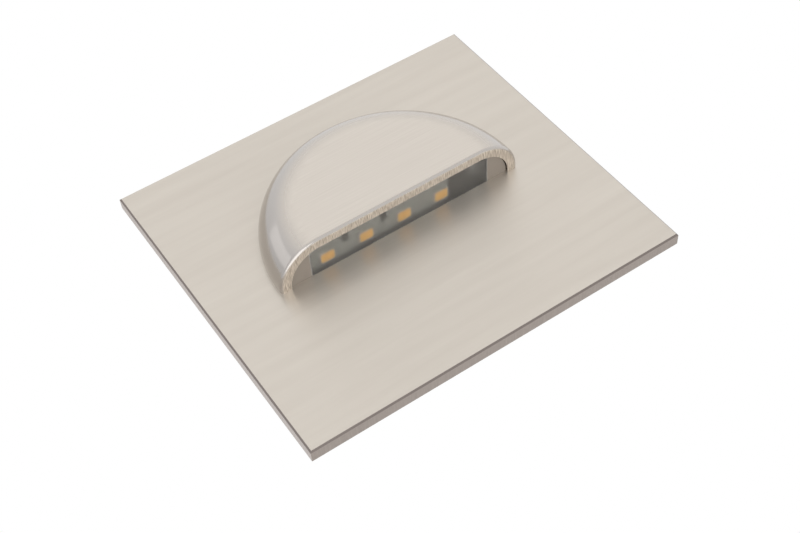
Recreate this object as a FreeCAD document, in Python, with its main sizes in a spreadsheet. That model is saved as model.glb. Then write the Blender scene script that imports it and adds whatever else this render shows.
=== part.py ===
import FreeCAD, Part
import math
import os
import re

import Sketcher
from FreeCAD import Placement, Rotation, Vector

# Recessed step light: a stainless face plate with a half-cup hood over a row of LEDs.
# It stands as it is fitted: +Z up, +X to the right, and the wall behind it at y = 0.
# Heights called "out" are measured from the wall towards the room, so out = -y.

# ---------------------------------------------------------------- driving dimensions, in mm
SIZES = {
    # face plate
    "plate_width": 90.0,
    "plate_height": 80.0,
    "plate_thick": 3.0,
    "plate_chamfer": 0.35,
    "slot_play": 0.3,
    "slot_corner": 0.8,
    # foam gasket between the plate and the wall
    "wall_gasket_thick": 1.5,
    "wall_gasket_setback": 2.5,
    "wall_gasket_hole_gap": 6.5,
    "wall_gasket_corner": 4.0,
    # hood: a flat-topped round cup, cut off just below its centre
    "hood_radius": 30.0,
    "hood_height": 10.5,
    "hood_wall": 2.5,
    "hood_foot": 0.5,
    "hood_centre_rise": 1.2,
    "hood_cut_level": -4.5,
    "hood_rim_round": 0.8,
    "hood_boss_radius": 3.2,
    "hood_screw_x": 9.0,
    "hood_screw_level": 15.0,
    "hood_screw_bite": 6.0,
    "hood_screw_run_out": 0.5,
    # threads and screws
    "thread_radius": 1.5,
    "thread_play": 0.03,
    "thread_lead_in": 0.3,
    "hole_play": 0.2,
    "sink_radius": 2.9,
    "sink_depth": 1.6,
    "sink_play": 0.05,
    "hex_key": 1.0,
    "hex_key_depth": 1.1,
    # clear lens that fills the mouth of the hood, and the pocket in it
    "lens_play": 0.15,
    "lens_recess": 0.55,
    "lens_depth": 7.5,
    "lens_end_wall": 5.25,
    "lens_pane": 0.8,
    "lens_back_wall": 1.2,
    "lens_tip_wall": 0.9,
    # LED carrier and LED board
    "carrier_seal_thick": 0.8,
    "carrier_seal_setback": 0.3,
    "carrier_base_thick": 3.2,
    "carrier_margin": 2.05,
    "carrier_height": 14.0,
    "carrier_corner": 1.5,
    "carrier_lobe": 4.0,
    "carrier_lobe_out": 3.5,
    "carrier_tongue_thick": 2.0,
    "carrier_tongue_side": 0.6,
    "carrier_fillet": 0.8,
    "board_gap": 0.25,
    "led_gap": 0.12,
    "led_board_thick": 1.0,
    "led_board_short": 8.65,
    "led_board_width": 7.5,
    "led_first": 3.75,
    "led_last": 2.4,
    "led_out": 2.75,
    "led_count": 4,
    "led_long": 3.5,
    "led_wide": 2.8,
    "led_thick": 0.8,
    "led_window_margin": 0.35,
    "led_window_depth": 0.25,
    "led_resistor_out": 1.2,
    "plug_gap": 0.1,
    "plug_length": 5.0,
    "plug_proud": 0.4,
    "lead_radius": 0.55,
    "lead_pitch": 2.3,
    "lead_side": 0.3,
    "lead_rise": 0.1,
    "lead_room": 0.45,
    # chip resistors on both boards
    "chip_resistor_length": 2.0,
    "chip_resistor_width": 1.25,
    "chip_resistor_thick": 0.5,
    # studs, washers and nuts on the back of the plate
    "stud_angle": 48.24,
    "stud_length": 6.5,
    "stud_wall_gap": 0.28,
    "ear_margin": 1.0,
    "ear_thick": 2.4,
    "washer_radius": 3.2,
    "washer_thick": 0.5,
    "nut_flats": 5.5,
    "nut_thick": 2.4,
    "standoff_length": 5.5,
    # driver board and what it carries
    "driver_boss_gap": 2.0,
    "driver_margin": 2.5,
    "driver_corner": 2.0,
    "driver_thick": 1.6,
    "driver_end_gap": 0.3,
    "pan_head_radius": 2.7,
    "pan_head_thick": 1.7,
    "pan_head_round": 0.7,
    "board_screw_bite": 2.5,
    "coil_radius": 3.6,
    "coil_core_height": 4.4,
    "coil_flange": 0.8,
    "coil_drum_radius": 1.6,
    "coil_wire_setback": 0.3,
    "coil_inset": 2.4,
    "coil_level": -7.0,
    "capacitor_radius": 3.15,
    "capacitor_height": 4.9,
    "capacitor_groove_height": 1.1,
    "capacitor_groove": 0.3,
    "capacitor_inset": 2.35,
    "capacitor_level": 6.5,
    "chip_length": 4.9,
    "chip_width": 3.9,
    "chip_thick": 1.5,
    "chip_leg_pitch": 1.27,
    "chip_leg_width": 0.4,
    "chip_leg_length": 1.0,
    "chip_leg_thick": 0.25,
    "chip_lift": 0.1,
    "chip_x": 2.5,
    "chip_level": 3.0,
    "terminal_length": 10.0,
    "terminal_depth": 7.0,
    "terminal_height": 4.9,
    "terminal_chamfer": 0.8,
    "terminal_inset": 1.0,
    "terminal_pitch": 5.0,
    "terminal_screw_radius": 1.5,
    "terminal_screw_play": 0.1,
    "terminal_screw_length": 1.8,
    "terminal_screw_sink": 0.8,
    "terminal_screw_level": 0.8,
    "terminal_slot": 0.5,
    "terminal_mouth": 2.6,
    "terminal_mouth_height": 2.4,
    # die-cast housing behind the plate
    "housing_side_gap": 0.5,
    "housing_wall": 2.0,
    "housing_bulge": 1.5,
    "housing_draft": 0.4,
    "housing_seal_thick": 0.6,
    "fin_count": 7,
    "fin_pitch": 5.4,
    "fin_height": 1.2,
    "fin_thick": 1.2,
    "fin_length": 12.5,
    # rear cover
    "cover_thick": 2.5,
    "cover_round": 1.0,
    "cover_seal_thick": 0.8,
    "cover_spigot": 1.0,
    "cover_spigot_wall": 1.4,
    "cover_spigot_play": 0.25,
    "cover_boss_radius": 3.0,
    "cover_boss_length": 6.0,
    "cover_boss_drop": 1.3,
    "cover_boss_floor": 1.0,
    "cover_screw_inset": 2.5,
    "cover_screw_bite": 4.5,
    "cover_pad_radius": 9.5,
    "cover_pad_thick": 0.8,
    # cable gland
    "gland_thread_radius": 6.0,
    "gland_hole_play": 0.15,
    "gland_flats": 15.0,
    "gland_hex_thick": 4.0,
    "gland_ring_radius": 0.55,
    "gland_locknut_flats": 15.0,
    "gland_locknut_thick": 2.5,
    "gland_upper_radius": 5.6,
    "gland_upper_length": 5.0,
    "gland_bore": 4.2,
    "gland_seal_bore": 3.0,
    "gland_seal_wall": 1.6,
    "gland_seal_length": 6.0,
    "gland_seal_proud": 1.0,
    "gland_nut_wall": 1.5,
    "gland_nut_gap": 0.6,
    "gland_nut_length": 7.6,
    "gland_nut_mouth": 3.6,
    "gland_nut_nose": 3.0,
    "gland_nut_lip": 1.2,
    "gland_groove_radius": 0.8,
    "gland_groove_depth": 0.35,
    "gland_groove_stop": 1.0,
    # sprung side clips
    "clip_axis_depth": 10.8,
    "clip_pin_radius": 1.25,
    "clip_pin_play": 0.05,
    "clip_pin_fit": 0.02,
    "clip_pin_head": 2.0,
    "clip_pin_head_thick": 0.8,
    "clip_pin_peen": 0.3,
    "clip_lug_radius": 2.6,
    "clip_lug_thick": 2.0,
    "clip_lug_gap": 13.0,
    "clip_ear_radius": 2.35,
    "clip_side_play": 0.3,
    "clip_sheet": 0.8,
    "clip_arm_length": 10.0,
    "clip_curl_radius": 1.4,
    "clip_rest_angle": 28.0,
    "clip_stop_gap": 0.02,
    "spring_wire": 0.8,
    "spring_mean_radius": 2.1,
    "spring_pitch": 1.4,
    "spring_turns": 5,
    "spring_leg": 6.5,
}

document = FreeCAD.newDocument("StepLight")
sheet = document.addObject("Spreadsheet::Sheet", "Dims")
for row, (alias, size) in enumerate(SIZES.items(), start=1):
    sheet.set(f"A{row}", alias)
    sheet.set(f"B{row}", str(size))
    sheet.setAlias(f"B{row}", alias)
document.recompute()

# ---------------------------------------------------------------- levels that several pieces share
LEVELS = {
    # outwards from the wall
    "plate_back": "wall_gasket_thick",
    "plate_front": "plate_back + plate_thick",
    "hood_top": "plate_front + hood_height",
    "hood_roof": "hood_top - hood_wall",
    "hood_corner": "hood_height - hood_foot",
    "lens_tip": "hood_roof - lens_play",
    "lens_inner_tip": "lens_tip - lens_tip_wall",
    "carrier_front": "plate_back - carrier_seal_thick",
    "carrier_back": "carrier_front - carrier_base_thick",
    "driver_front": "carrier_back - standoff_length",
    "driver_back": "driver_front - driver_thick",
    "cover_front": "driver_back - terminal_height - driver_end_gap - gland_locknut_thick",
    "cover_back": "cover_front - cover_thick",
    "housing_back": "cover_front + cover_seal_thick",
    "housing_front": "plate_back - housing_seal_thick",
    "housing_length": "housing_front - housing_back",
    "cover_boss_base": "housing_back + cover_boss_drop",
    "gland_seat": "cover_back - cover_pad_thick",
    "gland_collar_front": "gland_seat - 2 * gland_ring_radius",
    "gland_collar_back": "gland_collar_front - gland_hex_thick",
    "gland_sleeve_end": "gland_collar_back - gland_upper_length",
    "gland_seal_end": "gland_sleeve_end - gland_seal_proud",
    "gland_nut_end": "gland_collar_back - gland_nut_gap - gland_nut_length",
    "ear_back": "housing_front - ear_thick",
    "washer_back": "ear_back - washer_thick",
    "led_board_tip": "lens_inner_tip - board_gap",
    "led_board_foot": "led_board_tip - led_board_width",
    "led_level": "plate_front + led_out",
    # upwards from the middle of the plate
    "hood_centre": "hood_cut_level + hood_centre_rise",
    "lens_face": "hood_cut_level + lens_recess",
    "lens_back": "lens_face + lens_depth",
    "pane_back": "lens_face + lens_pane",
    "led_face": "pane_back + led_gap",
    "led_board_face": "led_face + led_thick",
    "tongue_face": "led_board_face + led_board_thick",
    "tongue_back": "tongue_face + carrier_tongue_thick",
    "slot_bottom": "led_face - slot_play",
    "slot_top": "tongue_back + carrier_fillet + slot_play",
    "carrier_stud_level": "carrier_height / 2 + carrier_lobe_out",
    "stud_level": "stud_ring * sin(stud_angle)",
    "cover_screw_level": "bore_radius - cover_screw_inset",
    "driver_top": "carrier_stud_level + driver_margin",
    # sideways from the middle of the plate
    "pocket_half": "hood_radius - hood_wall - lens_end_wall",
    "tongue_half": "pocket_half - carrier_tongue_side",
    "slot_half": "tongue_half + slot_play",
    "carrier_half": "slot_half + carrier_margin",
    "led_board_length": "2 * tongue_half - led_board_short",
    "led_board_right": "led_board_length - tongue_half",
    "led_pitch": "(led_board_length - led_first - led_last) / (led_count - 1)",
    "plug_left": "led_board_right + plug_gap",
    "lead_x": "plug_left + lead_side + lead_radius + lead_pitch / 2",
    "lead_level": "led_board_face + lead_rise",
    "housing_flat": "carrier_half + housing_side_gap + housing_wall",
    "housing_radius": "housing_flat + housing_bulge",
    "housing_rear_radius": "housing_radius - housing_draft",
    "bore_radius": "housing_radius - housing_wall",
    "bore_flat": "housing_flat - housing_wall",
    "wall_gasket_hole": "housing_radius + wall_gasket_hole_gap",
    "stud_ring": "bore_radius - washer_radius - stud_wall_gap",
    "stud_x": "stud_ring * cos(stud_angle)",
    "ear_radius": "washer_radius + ear_margin",
    "cover_screw_x": "bore_flat - cover_screw_inset",
    "driver_half": "cover_screw_x - cover_boss_radius - driver_boss_gap",
    "coil_x": "driver_half - coil_radius - coil_inset",
    "capacitor_x": "driver_half - capacitor_radius - capacitor_inset",
    "terminal_x": "terminal_length / 2 + terminal_inset - driver_half",
    "clip_axis_x": "housing_flat + spring_mean_radius + spring_wire / 2",
    # from a clip's own axis
    "clip_back": "-spring_mean_radius - spring_wire / 2",
    "clip_front": "clip_back - clip_sheet",
    "clip_heel": "(clip_axis_x - housing_flat - clip_stop_gap + clip_front * sin(clip_rest_angle))"
                 " / cos(clip_rest_angle)",
    # radii
    "clear_radius": "thread_radius + hole_play",
    "tap_radius": "thread_radius + thread_play",
}
NAMES = re.compile(r"[a-z_]+[a-z]")


def formula(text):
    """Spell out shared levels and point each size's name at its cell."""
    def swap(match):
        name = match.group(0)
        if name in LEVELS:
            return f"({formula(LEVELS[name])})"
        return f"Dims.{name}" if name in SIZES else name
    return NAMES.sub(swap, text)


def number(text):
    """Value of a formula with the sheet as it stands."""
    return float(sheet.evalExpression(formula(text)))


def bind(thing, **properties):
    """Bind properties of an object to formulas."""
    for name, text in properties.items():
        thing.setExpression(name, formula(text))


# ---------------------------------------------------------------- how bodies and features are made
PLANES = {"front": "XZ_Plane", "top": "XY_Plane", "side": "YZ_Plane"}


def new_body(label):
    body = document.addObject("PartDesign::Body", label)
    body.Label = label
    return body


def origin_plane(body, role):
    return next(item for item in body.Origin.OriginFeatures if item.Role == role)


def attach(thing, body, plane, place):
    """Lay a sketch or primitive on a body's own plane, shifted right, up and off the plane."""
    thing.AttachmentSupport = [(origin_plane(body, PLANES[plane]), "")]
    thing.MapMode = "FlatFace"
    for axis, text in zip("xyz", place):
        if text != "0":
            thing.setExpression(f".AttachmentOffset.Base.{axis}", formula(text))


def new_sketch(body, plane, off="0", up="0"):
    sketch = body.newObject("Sketcher::SketchObject", f"{body.Name}_sketch")
    attach(sketch, body, plane, ("0", up, off))
    return sketch


def measure(sketch, kind, geometry, point, text):
    """Dimension one coordinate of a point from the sketch's origin."""
    index = sketch.addConstraint(
        Sketcher.Constraint(kind, -1, 1, geometry, point, number(text)))
    sketch.setExpression(f"Constraints[{index}]", formula(text))


def draw(sketch, corners, arcs=None):
    """Closed outline through corners (u, v, which are dimensioned).

    arcs maps a side's number to (centre u, centre v, radius, turn), where turn is +1 for an arc that
    runs counter-clockwise from its corner to the next one.
    """
    arcs = arcs or {}
    first = sketch.GeometryCount
    points = [Vector(number(corner[0]), number(corner[1]), 0) for corner in corners]
    count = len(points)
    for side, start in enumerate(points):
        end = points[(side + 1) % count]
        if side not in arcs:
            sketch.addGeometry(Part.LineSegment(start, end))
            continue
        centre = Vector(number(arcs[side][0]), number(arcs[side][1]), 0)
        circle = Part.Circle(centre, Vector(0, 0, 1), number(arcs[side][2]))
        ends = [math.atan2(p.y - centre.y, p.x - centre.x) for p in (start, end)]
        if arcs[side][3] < 0:
            ends.reverse()
        if ends[1] <= ends[0]:
            ends[1] += 2 * math.pi
        sketch.addGeometry(Part.ArcOfCircle(circle, *ends))

    def begin(side):
        return 2 if side in arcs and arcs[side][3] < 0 else 1

    for side in range(count):
        following = (side + 1) % count
        sketch.addConstraint(Sketcher.Constraint(
            "Coincident", first + side, 3 - begin(side), first + following, begin(following)))
    for side, corner in enumerate(corners):
        which = corner[2] if len(corner) > 2 else "uv"
        if "u" in which:
            measure(sketch, "DistanceX", first + side, begin(side), corner[0])
        if "v" in which:
            measure(sketch, "DistanceY", first + side, begin(side), corner[1])
    for side, (u, v, radius, turn) in arcs.items():
        measure(sketch, "DistanceX", first + side, 3, u)
        measure(sketch, "DistanceY", first + side, 3, v)
        index = sketch.addConstraint(
            Sketcher.Constraint("Radius", first + side, number(radius)))
        sketch.setExpression(f"Constraints[{index}]", formula(radius))


def draw_rectangle(sketch, left, bottom, right, top):
    draw(sketch, [(left, bottom), (right, bottom), (right, top), (left, top)])


def draw_circle(sketch, u, v, radius):
    index = sketch.addGeometry(
        Part.Circle(Vector(number(u), number(v), 0), Vector(0, 0, 1), number(radius)))
    measure(sketch, "DistanceX", index, 3, u)
    measure(sketch, "DistanceY", index, 3, v)
    constraint = sketch.addConstraint(Sketcher.Constraint("Radius", index, number(radius)))
    sketch.setExpression(f"Constraints[{constraint}]", formula(radius))


def draw_flatted_circle(sketch, radius, flat):
    """A circle with its left and right sides cut flat."""
    rise = f"sqrt(({radius})^2 - ({flat})^2)"
    corners = [(flat, f"-{rise}", "u"), (flat, rise, "u"),
               (f"-({flat})", rise, "u"), (f"-({flat})", f"-{rise}", "u")]
    draw(sketch, corners, {1: ("0", "0", radius, 1), 3: ("0", "0", radius, 1)})


def draw_hexagon(sketch, u, v, flats):
    """A hexagon with two of its flats level."""
    corner = f"({flats}) / sqrt(3)"
    half = f"({flats}) / 2"
    draw(sketch, [(f"{u} + {across} * {corner}", f"{v} + {up} * {half}")
                  for across, up in ((1, 0), (0.5, 1), (-0.5, 1), (-1, 0), (-0.5, -1), (0.5, -1))])


def feature(body, kind, name):
    return body.newObject(f"PartDesign::{kind}", f"{body.Name}_{name}")


def refresh(*things):
    """Recompute only what has just changed."""
    document.recompute(list(things), True)


def pad(body, sketch, length, kind="Pad"):
    """Thicken an outline off its plane; a Pocket goes the same way, into what is there."""
    made = feature(body, kind, kind.lower())
    made.Profile = sketch
    bind(made, Length=length)
    if kind == "Pocket":
        made.Reversed = True
    refresh(sketch, made, body)
    return made


def pocket(body, sketch, length):
    before = body.Shape.Volume
    made = pad(body, sketch, length, "Pocket")
    if body.Shape.Volume > before - 1e-6:
        raise RuntimeError(f"{made.Name} cuts nothing")
    return made


def revolve(body, sketch, axis="H_Axis"):
    made = feature(body, "Revolution", "turned")
    made.Profile = sketch
    made.ReferenceAxis = (sketch, [axis])
    made.Angle = 360
    refresh(sketch, made, body)
    return made


def primitive(body, kind, plane, place, **properties):
    """A PartDesign primitive that stands on one of the body's planes."""
    made = feature(body, kind, kind.lower())
    attach(made, body, plane, place)
    bind(made, **properties)
    refresh(made, body)
    return made


def pad_circles(body, base, centres, radius, length, cut=False):
    """Posts, or holes, of one size from one sketch."""
    sketch = new_sketch(body, "front", base)
    for x, level in centres:
        draw_circle(sketch, x, level, radius)
    return pocket(body, sketch, length) if cut else pad(body, sketch, length)


def post(body, x, level, base, radius, height, plane="front"):
    return primitive(body, "AdditiveCylinder", plane, (x, level, base), Radius=radius, Height=height)


def drill(body, x, level, base, radius, height, plane="front"):
    return primitive(body, "SubtractiveCylinder", plane, (x, level, base), Radius=radius, Height=height)


def block(body, left, bottom, base, width, height, length, kind="AdditiveBox"):
    return primitive(body, kind, "front", (left, bottom, base),
                     Length=width, Width=height, Height=length)


def mirrored(body, features, role="YZ_Plane"):
    made = feature(body, "Mirrored", "mirrored")
    made.Originals = features
    made.MirrorPlane = (origin_plane(body, role), [""])
    body.Tip = made
    refresh(made, body)
    return made


def dress(body, kind, base, edges, **properties):
    """Round or chamfer the edges of a feature that a test picks out."""
    names = [f"Edge{i}" for i, edge in enumerate(base.Shape.Edges, start=1) if edges(edge)]
    if not names:
        raise RuntimeError(f"{body.Label}: no edges to {kind.lower()}")
    made = feature(body, kind, kind.lower())
    made.Base = (base, names)
    bind(made, **properties)
    refresh(made, body)
    return made


def lies_out(edge, level):
    """Whether an edge lies wholly at a distance out from the wall."""
    box = edge.BoundBox
    return abs(box.YMin + level) < 1e-4 and abs(box.YMax + level) < 1e-4


def runs_out(edge):
    """Whether an edge is straight and runs square to the wall."""
    box = edge.BoundBox
    return box.XLength < 1e-4 and box.ZLength < 1e-4 and box.YLength > 1e-3


# ---------------------------------------------------------------- places that several pieces share
HOUSING_STUDS = [(f"{right}stud_x", f"{up}stud_level") for right in ("", "-") for up in ("", "-")]
CARRIER_STUDS = [("0", "carrier_stud_level"), ("0", "-carrier_stud_level")]
COVER_SCREWS = [("cover_screw_x", "0"), ("-cover_screw_x", "0"),
                ("0", "cover_screw_level"), ("0", "-cover_screw_level")]
HOOD_SCREWS = [("hood_screw_x", "hood_screw_level"), ("-hood_screw_x", "hood_screw_level")]


# ---------------------------------------------------------------- plate and gasket
def make_face_plate():
    """Laser-cut stainless sheet with the slot that the LED carrier comes through."""
    body = new_body("face_plate")
    outline = new_sketch(body, "front", "plate_back")
    draw_rectangle(outline, "-plate_width / 2", "-plate_height / 2", "plate_width / 2", "plate_height / 2")
    slab = pad(body, outline, "plate_thick")
    front = number("plate_front")
    dress(body, "Chamfer", slab, lambda edge: lies_out(edge, front), Size="plate_chamfer")
    slot = new_sketch(body, "front", "plate_back")
    draw_rectangle(slot, "-slot_half", "slot_bottom", "slot_half", "slot_top")
    cut = pocket(body, slot, "plate_thick")
    half = number("slot_half")
    dress(body, "Fillet", cut,
          lambda edge: runs_out(edge) and abs(abs(edge.BoundBox.XMin) - half) < 1e-4, Radius="slot_corner")
    hole = drill(body, "hood_screw_x", "hood_screw_level", "plate_back", "clear_radius", "plate_thick")
    sink = primitive(body, "SubtractiveCone", "front", ("hood_screw_x", "hood_screw_level", "plate_back"),
                     Radius1="sink_radius", Radius2="clear_radius", Height="sink_depth")
    mirrored(body, [hole, sink])


def make_weld_studs():
    """Six threaded studs welded to the back of the plate."""
    body = new_body("weld_studs")
    base = "plate_back - stud_length"
    pad_circles(body, base, HOUSING_STUDS + CARRIER_STUDS, "thread_radius", "stud_length")
    tips = number(base)
    dress(body, "Chamfer", body.Tip, lambda edge: lies_out(edge, tips), Size="thread_lead_in")


def make_wall_gasket():
    """Closed-cell foam frame, set back from the plate's edge so that it stays out of sight."""
    body = new_body("wall_gasket")
    outline = new_sketch(body, "front")
    right = "plate_width / 2 - wall_gasket_setback"
    top = "plate_height / 2 - wall_gasket_setback"
    draw_rectangle(outline, f"-({right})", f"-({top})", right, top)
    draw_circle(outline, "0", "0", "wall_gasket_hole")
    frame = pad(body, outline, "wall_gasket_thick")
    side = number(right)
    dress(body, "Fillet", frame, lambda edge: runs_out(edge) and abs(edge.BoundBox.XMin) > side - 1e-4,
          Radius="wall_gasket_corner")


# ---------------------------------------------------------------- hood
def make_hood():
    """Half of a flat-topped cup: a turned shell, cut off, with two screw bosses inside."""
    body = new_body("hood")
    profile = new_sketch(body, "side", up="hood_centre")
    shoulder = ("-(hood_top - hood_corner)", "hood_radius - hood_corner")
    corners = [
        ("-hood_top", "0"),
        ("-hood_top", shoulder[1], "v"),
        (shoulder[0], "hood_radius", "u"),
        ("-plate_front", "hood_radius"),
        ("-plate_front", "hood_radius - hood_wall"),
        (shoulder[0], "hood_radius - hood_wall", "u"),
        ("-hood_roof", shoulder[1], "v"),
        ("-hood_roof", "0"),
    ]
    arcs = {1: (*shoulder, "hood_corner", -1), 5: (*shoulder, "hood_corner - hood_wall", 1)}
    draw(profile, corners, arcs)
    revolve(body, profile)
    below = new_sketch(body, "front", "plate_front")
    draw_rectangle(below, "-hood_radius - 1", "hood_cut_level - hood_radius",
                   "hood_radius + 1", "hood_cut_level")
    cut = pocket(body, below, "hood_height + 1")
    level = number("hood_cut_level")
    outer = number("hood_radius - hood_wall / 2")
    roof = -number("(hood_top + hood_roof) / 2")

    def on_outer_rim(edge):
        box = edge.BoundBox
        flat = abs(box.ZMin - level) < 1e-4 and abs(box.ZMax - level) < 1e-4
        return flat and box.YLength + box.XLength > 0.1 and (
            box.YMax < roof or abs(box.XMax) > outer or abs(box.XMin) > outer) and not (
            lies_out(edge, number("plate_front")))

    dress(body, "Fillet", cut, on_outer_rim, Radius="hood_rim_round")
    pad_circles(body, "plate_front", HOOD_SCREWS, "hood_boss_radius",
                "hood_roof - plate_front + hood_wall / 2")
    pad_circles(body, "plate_front", HOOD_SCREWS, "tap_radius", "hood_screw_bite + hood_screw_run_out",
                cut=True)


def make_hood_screws():
    """Two countersunk screws with hexagon sockets, driven from behind the plate."""
    body = new_body("hood_screws")
    at = ("hood_screw_x", "hood_screw_level")
    shank = post(body, *at, "plate_back", "thread_radius", "plate_thick + hood_screw_bite")
    head = primitive(body, "AdditiveCone", "front", (*at, "plate_back"), Radius1="sink_radius - sink_play",
                     Radius2="thread_radius", Height="sink_depth - sink_play")
    socket = drill(body, *at, "plate_back", "hex_key", "hex_key_depth")
    mirrored(body, [shank, head, socket])


# ---------------------------------------------------------------- lens, carrier and its seal
def make_lens():
    """Clear moulding that fills the mouth of the hood, turned to the hood's inside with a little play."""
    body = new_body("lens")
    profile = new_sketch(body, "side", up="hood_centre")
    shoulder = ("-(hood_top - hood_corner)", "hood_radius - hood_corner")
    corners = [
        ("-lens_tip", "0"),
        ("-lens_tip", shoulder[1], "v"),
        (shoulder[0], "hood_radius - hood_wall - lens_play", "u"),
        ("-plate_front", "hood_radius - hood_wall - lens_play"),
        ("-plate_front", "0"),
    ]
    draw(profile, corners, {1: (*shoulder, "hood_corner - hood_wall - lens_play", -1)})
    revolve(body, profile)
    ends = new_sketch(body, "front", "plate_front")
    draw_rectangle(ends, "-hood_radius", "lens_face - 2 * hood_radius", "hood_radius", "lens_face")
    draw_rectangle(ends, "-hood_radius", "lens_back", "hood_radius", "lens_back + 2 * hood_radius")
    pocket(body, ends, "hood_height")
    hollow = new_sketch(body, "front", "plate_front")
    draw_rectangle(hollow, "-pocket_half", "pane_back", "pocket_half", "lens_back - lens_back_wall")
    pocket(body, hollow, "lens_inner_tip - plate_front")


def carrier_outline(body, base, thick, setback="0"):
    """Plate with round lobes above and below, where the two middle studs go through."""
    outline = new_sketch(body, "front", base)
    draw_rectangle(outline, f"{setback} - carrier_half", f"{setback} - carrier_height / 2",
                   f"carrier_half - {setback}", f"carrier_height / 2 - {setback}")
    slab = pad(body, outline, thick)
    dress(body, "Fillet", slab, runs_out, Radius="carrier_corner")
    half = f"(carrier_lobe - {setback})"
    for sign, turn in (("", 1), ("-", -1)):
        lobe = new_sketch(body, "front", base)
        level = f"{sign}carrier_stud_level"
        draw(lobe, [(f"-{half}", "0"), (half, "0"), (half, level, "v"), (f"-{half}", level, "v")],
             {2: ("0", level, half, turn)})
        pad(body, lobe, thick)


def carrier_holes(body, base, thick):
    pad_circles(body, base, CARRIER_STUDS, "clear_radius", thick, cut=True)


def make_carrier_seal():
    """Flat silicone gasket between the LED carrier and the plate."""
    body = new_body("carrier_seal")
    carrier_outline(body, "carrier_front", "carrier_seal_thick", "carrier_seal_setback")
    slot = new_sketch(body, "front", "carrier_front")
    draw_rectangle(slot, "-slot_half", "slot_bottom", "slot_half", "slot_top")
    pocket(body, slot, "carrier_seal_thick")
    carrier_holes(body, "carrier_front", "carrier_seal_thick")


def make_led_carrier():
    """Aluminium angle: its base lies on the plate's back and its tongue holds the LED board in the lens."""
    body = new_body("led_carrier")
    carrier_outline(body, "carrier_back", "carrier_base_thick")
    outline = new_sketch(body, "front", "carrier_front")
    draw_rectangle(outline, "-tongue_half", "tongue_face", "tongue_half", "tongue_back")
    tongue = pad(body, outline, "led_board_tip - carrier_front")
    root, rear = number("carrier_front"), number("tongue_back")
    dress(body, "Fillet", tongue,
          lambda edge: lies_out(edge, root) and abs(edge.BoundBox.ZMin - rear) < 1e-4
          and abs(edge.BoundBox.ZMax - rear) < 1e-4, Radius="carrier_fillet")
    passage = new_sketch(body, "front", "carrier_back")
    reach = "(lead_pitch / 2 + lead_radius + lead_room)"
    draw_rectangle(passage, f"lead_x - {reach}", "lead_level - lead_radius - lead_room",
                   f"lead_x + {reach}", "lead_level + lead_radius + lead_room")
    pocket(body, passage, "carrier_base_thick")
    carrier_holes(body, "carrier_back", "carrier_base_thick")


# ---------------------------------------------------------------- LEDs
def led_row(body, width, depth, face, height, kind="AdditiveBox"):
    """One box for each LED, centred on it, and rising from face away from the pane."""
    for index in range(int(number("led_count"))):
        centre = f"(-tongue_half + led_first + {index} * led_pitch)"
        block(body, f"{centre} - ({width}) / 2", face, f"led_level - ({depth}) / 2",
              width, height, depth, kind)


def make_led_board():
    """Narrow aluminium-core board on the face of the tongue."""
    body = new_body("led_board")
    outline = new_sketch(body, "front", "led_board_foot")
    draw_rectangle(outline, "-tongue_half", "led_board_face", "led_board_right", "tongue_face")
    pad(body, outline, "led_board_width")


def make_led_packages():
    """White reflector packages, each with a shallow recess for its phosphor."""
    body = new_body("led_packages")
    led_row(body, "led_long", "led_wide", "led_face", "led_thick")
    led_row(body, "led_long - 2 * led_window_margin", "led_wide - 2 * led_window_margin", "led_face",
            "led_window_depth", "SubtractiveBox")


def make_led_windows():
    """Amber phosphor that fills each package's recess."""
    body = new_body("led_windows")
    led_row(body, "led_long - 2 * led_window_margin", "led_wide - 2 * led_window_margin", "led_face",
            "led_window_depth")


def make_led_resistors():
    """Two chip resistors between the LEDs."""
    body = new_body("led_resistors")
    for gap in (0.5, 1.5):
        centre = f"(-tongue_half + led_first + {gap} * led_pitch)"
        block(body, f"{centre} - chip_resistor_width / 2", "led_board_face - chip_resistor_thick",
              "led_level + led_resistor_out", "chip_resistor_width", "chip_resistor_thick",
              "chip_resistor_length")


def make_lead_plug():
    """Black sealing block over the solder joints at the end of the LED board."""
    body = new_body("lead_plug")
    outline = new_sketch(body, "front", "led_board_foot")
    draw_rectangle(outline, "plug_left", "led_board_face - plug_proud",
                   "plug_left + plug_length", "tongue_face")
    plug = pad(body, outline, "led_board_width")
    tip, face = number("led_board_tip"), number("led_board_face")
    dress(body, "Fillet", plug, lambda edge: lies_out(edge, tip) and edge.BoundBox.ZMax < face,
          Radius="plug_proud")


def make_led_leads():
    """Two insulated leads, straight from the sealing block to the driver board."""
    body = new_body("led_leads")
    for side in (-1, 1):
        post(body, f"lead_x + {side} * lead_pitch / 2", "lead_level", "driver_front",
             "lead_radius", "led_board_foot - driver_front")


# ---------------------------------------------------------------- fixings behind the plate
def make_housing_washers():
    body = new_body("housing_washers")
    pad_circles(body, "washer_back", HOUSING_STUDS, "washer_radius", "washer_thick")
    pad_circles(body, "washer_back", HOUSING_STUDS, "clear_radius", "washer_thick", cut=True)


def threaded_hexagons(body, centres, base, flats, bore, length):
    """Hexagons with a hole through each: nuts, spacers and spanner collars."""
    outline = new_sketch(body, "front", base)
    for x, level in centres:
        draw_hexagon(outline, x, level, flats)
        draw_circle(outline, x, level, bore)
    return pad(body, outline, length)


def make_housing_nuts():
    """Hexagon nuts on the four outer studs."""
    body = new_body("housing_nuts")
    threaded_hexagons(body, HOUSING_STUDS, "washer_back - nut_thick", "nut_flats", "tap_radius", "nut_thick")


def make_standoffs():
    """Hexagon spacers that clamp the LED carrier and hold up the driver board."""
    body = new_body("standoffs")
    threaded_hexagons(body, CARRIER_STUDS, "driver_front", "nut_flats", "tap_radius", "standoff_length")


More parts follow.
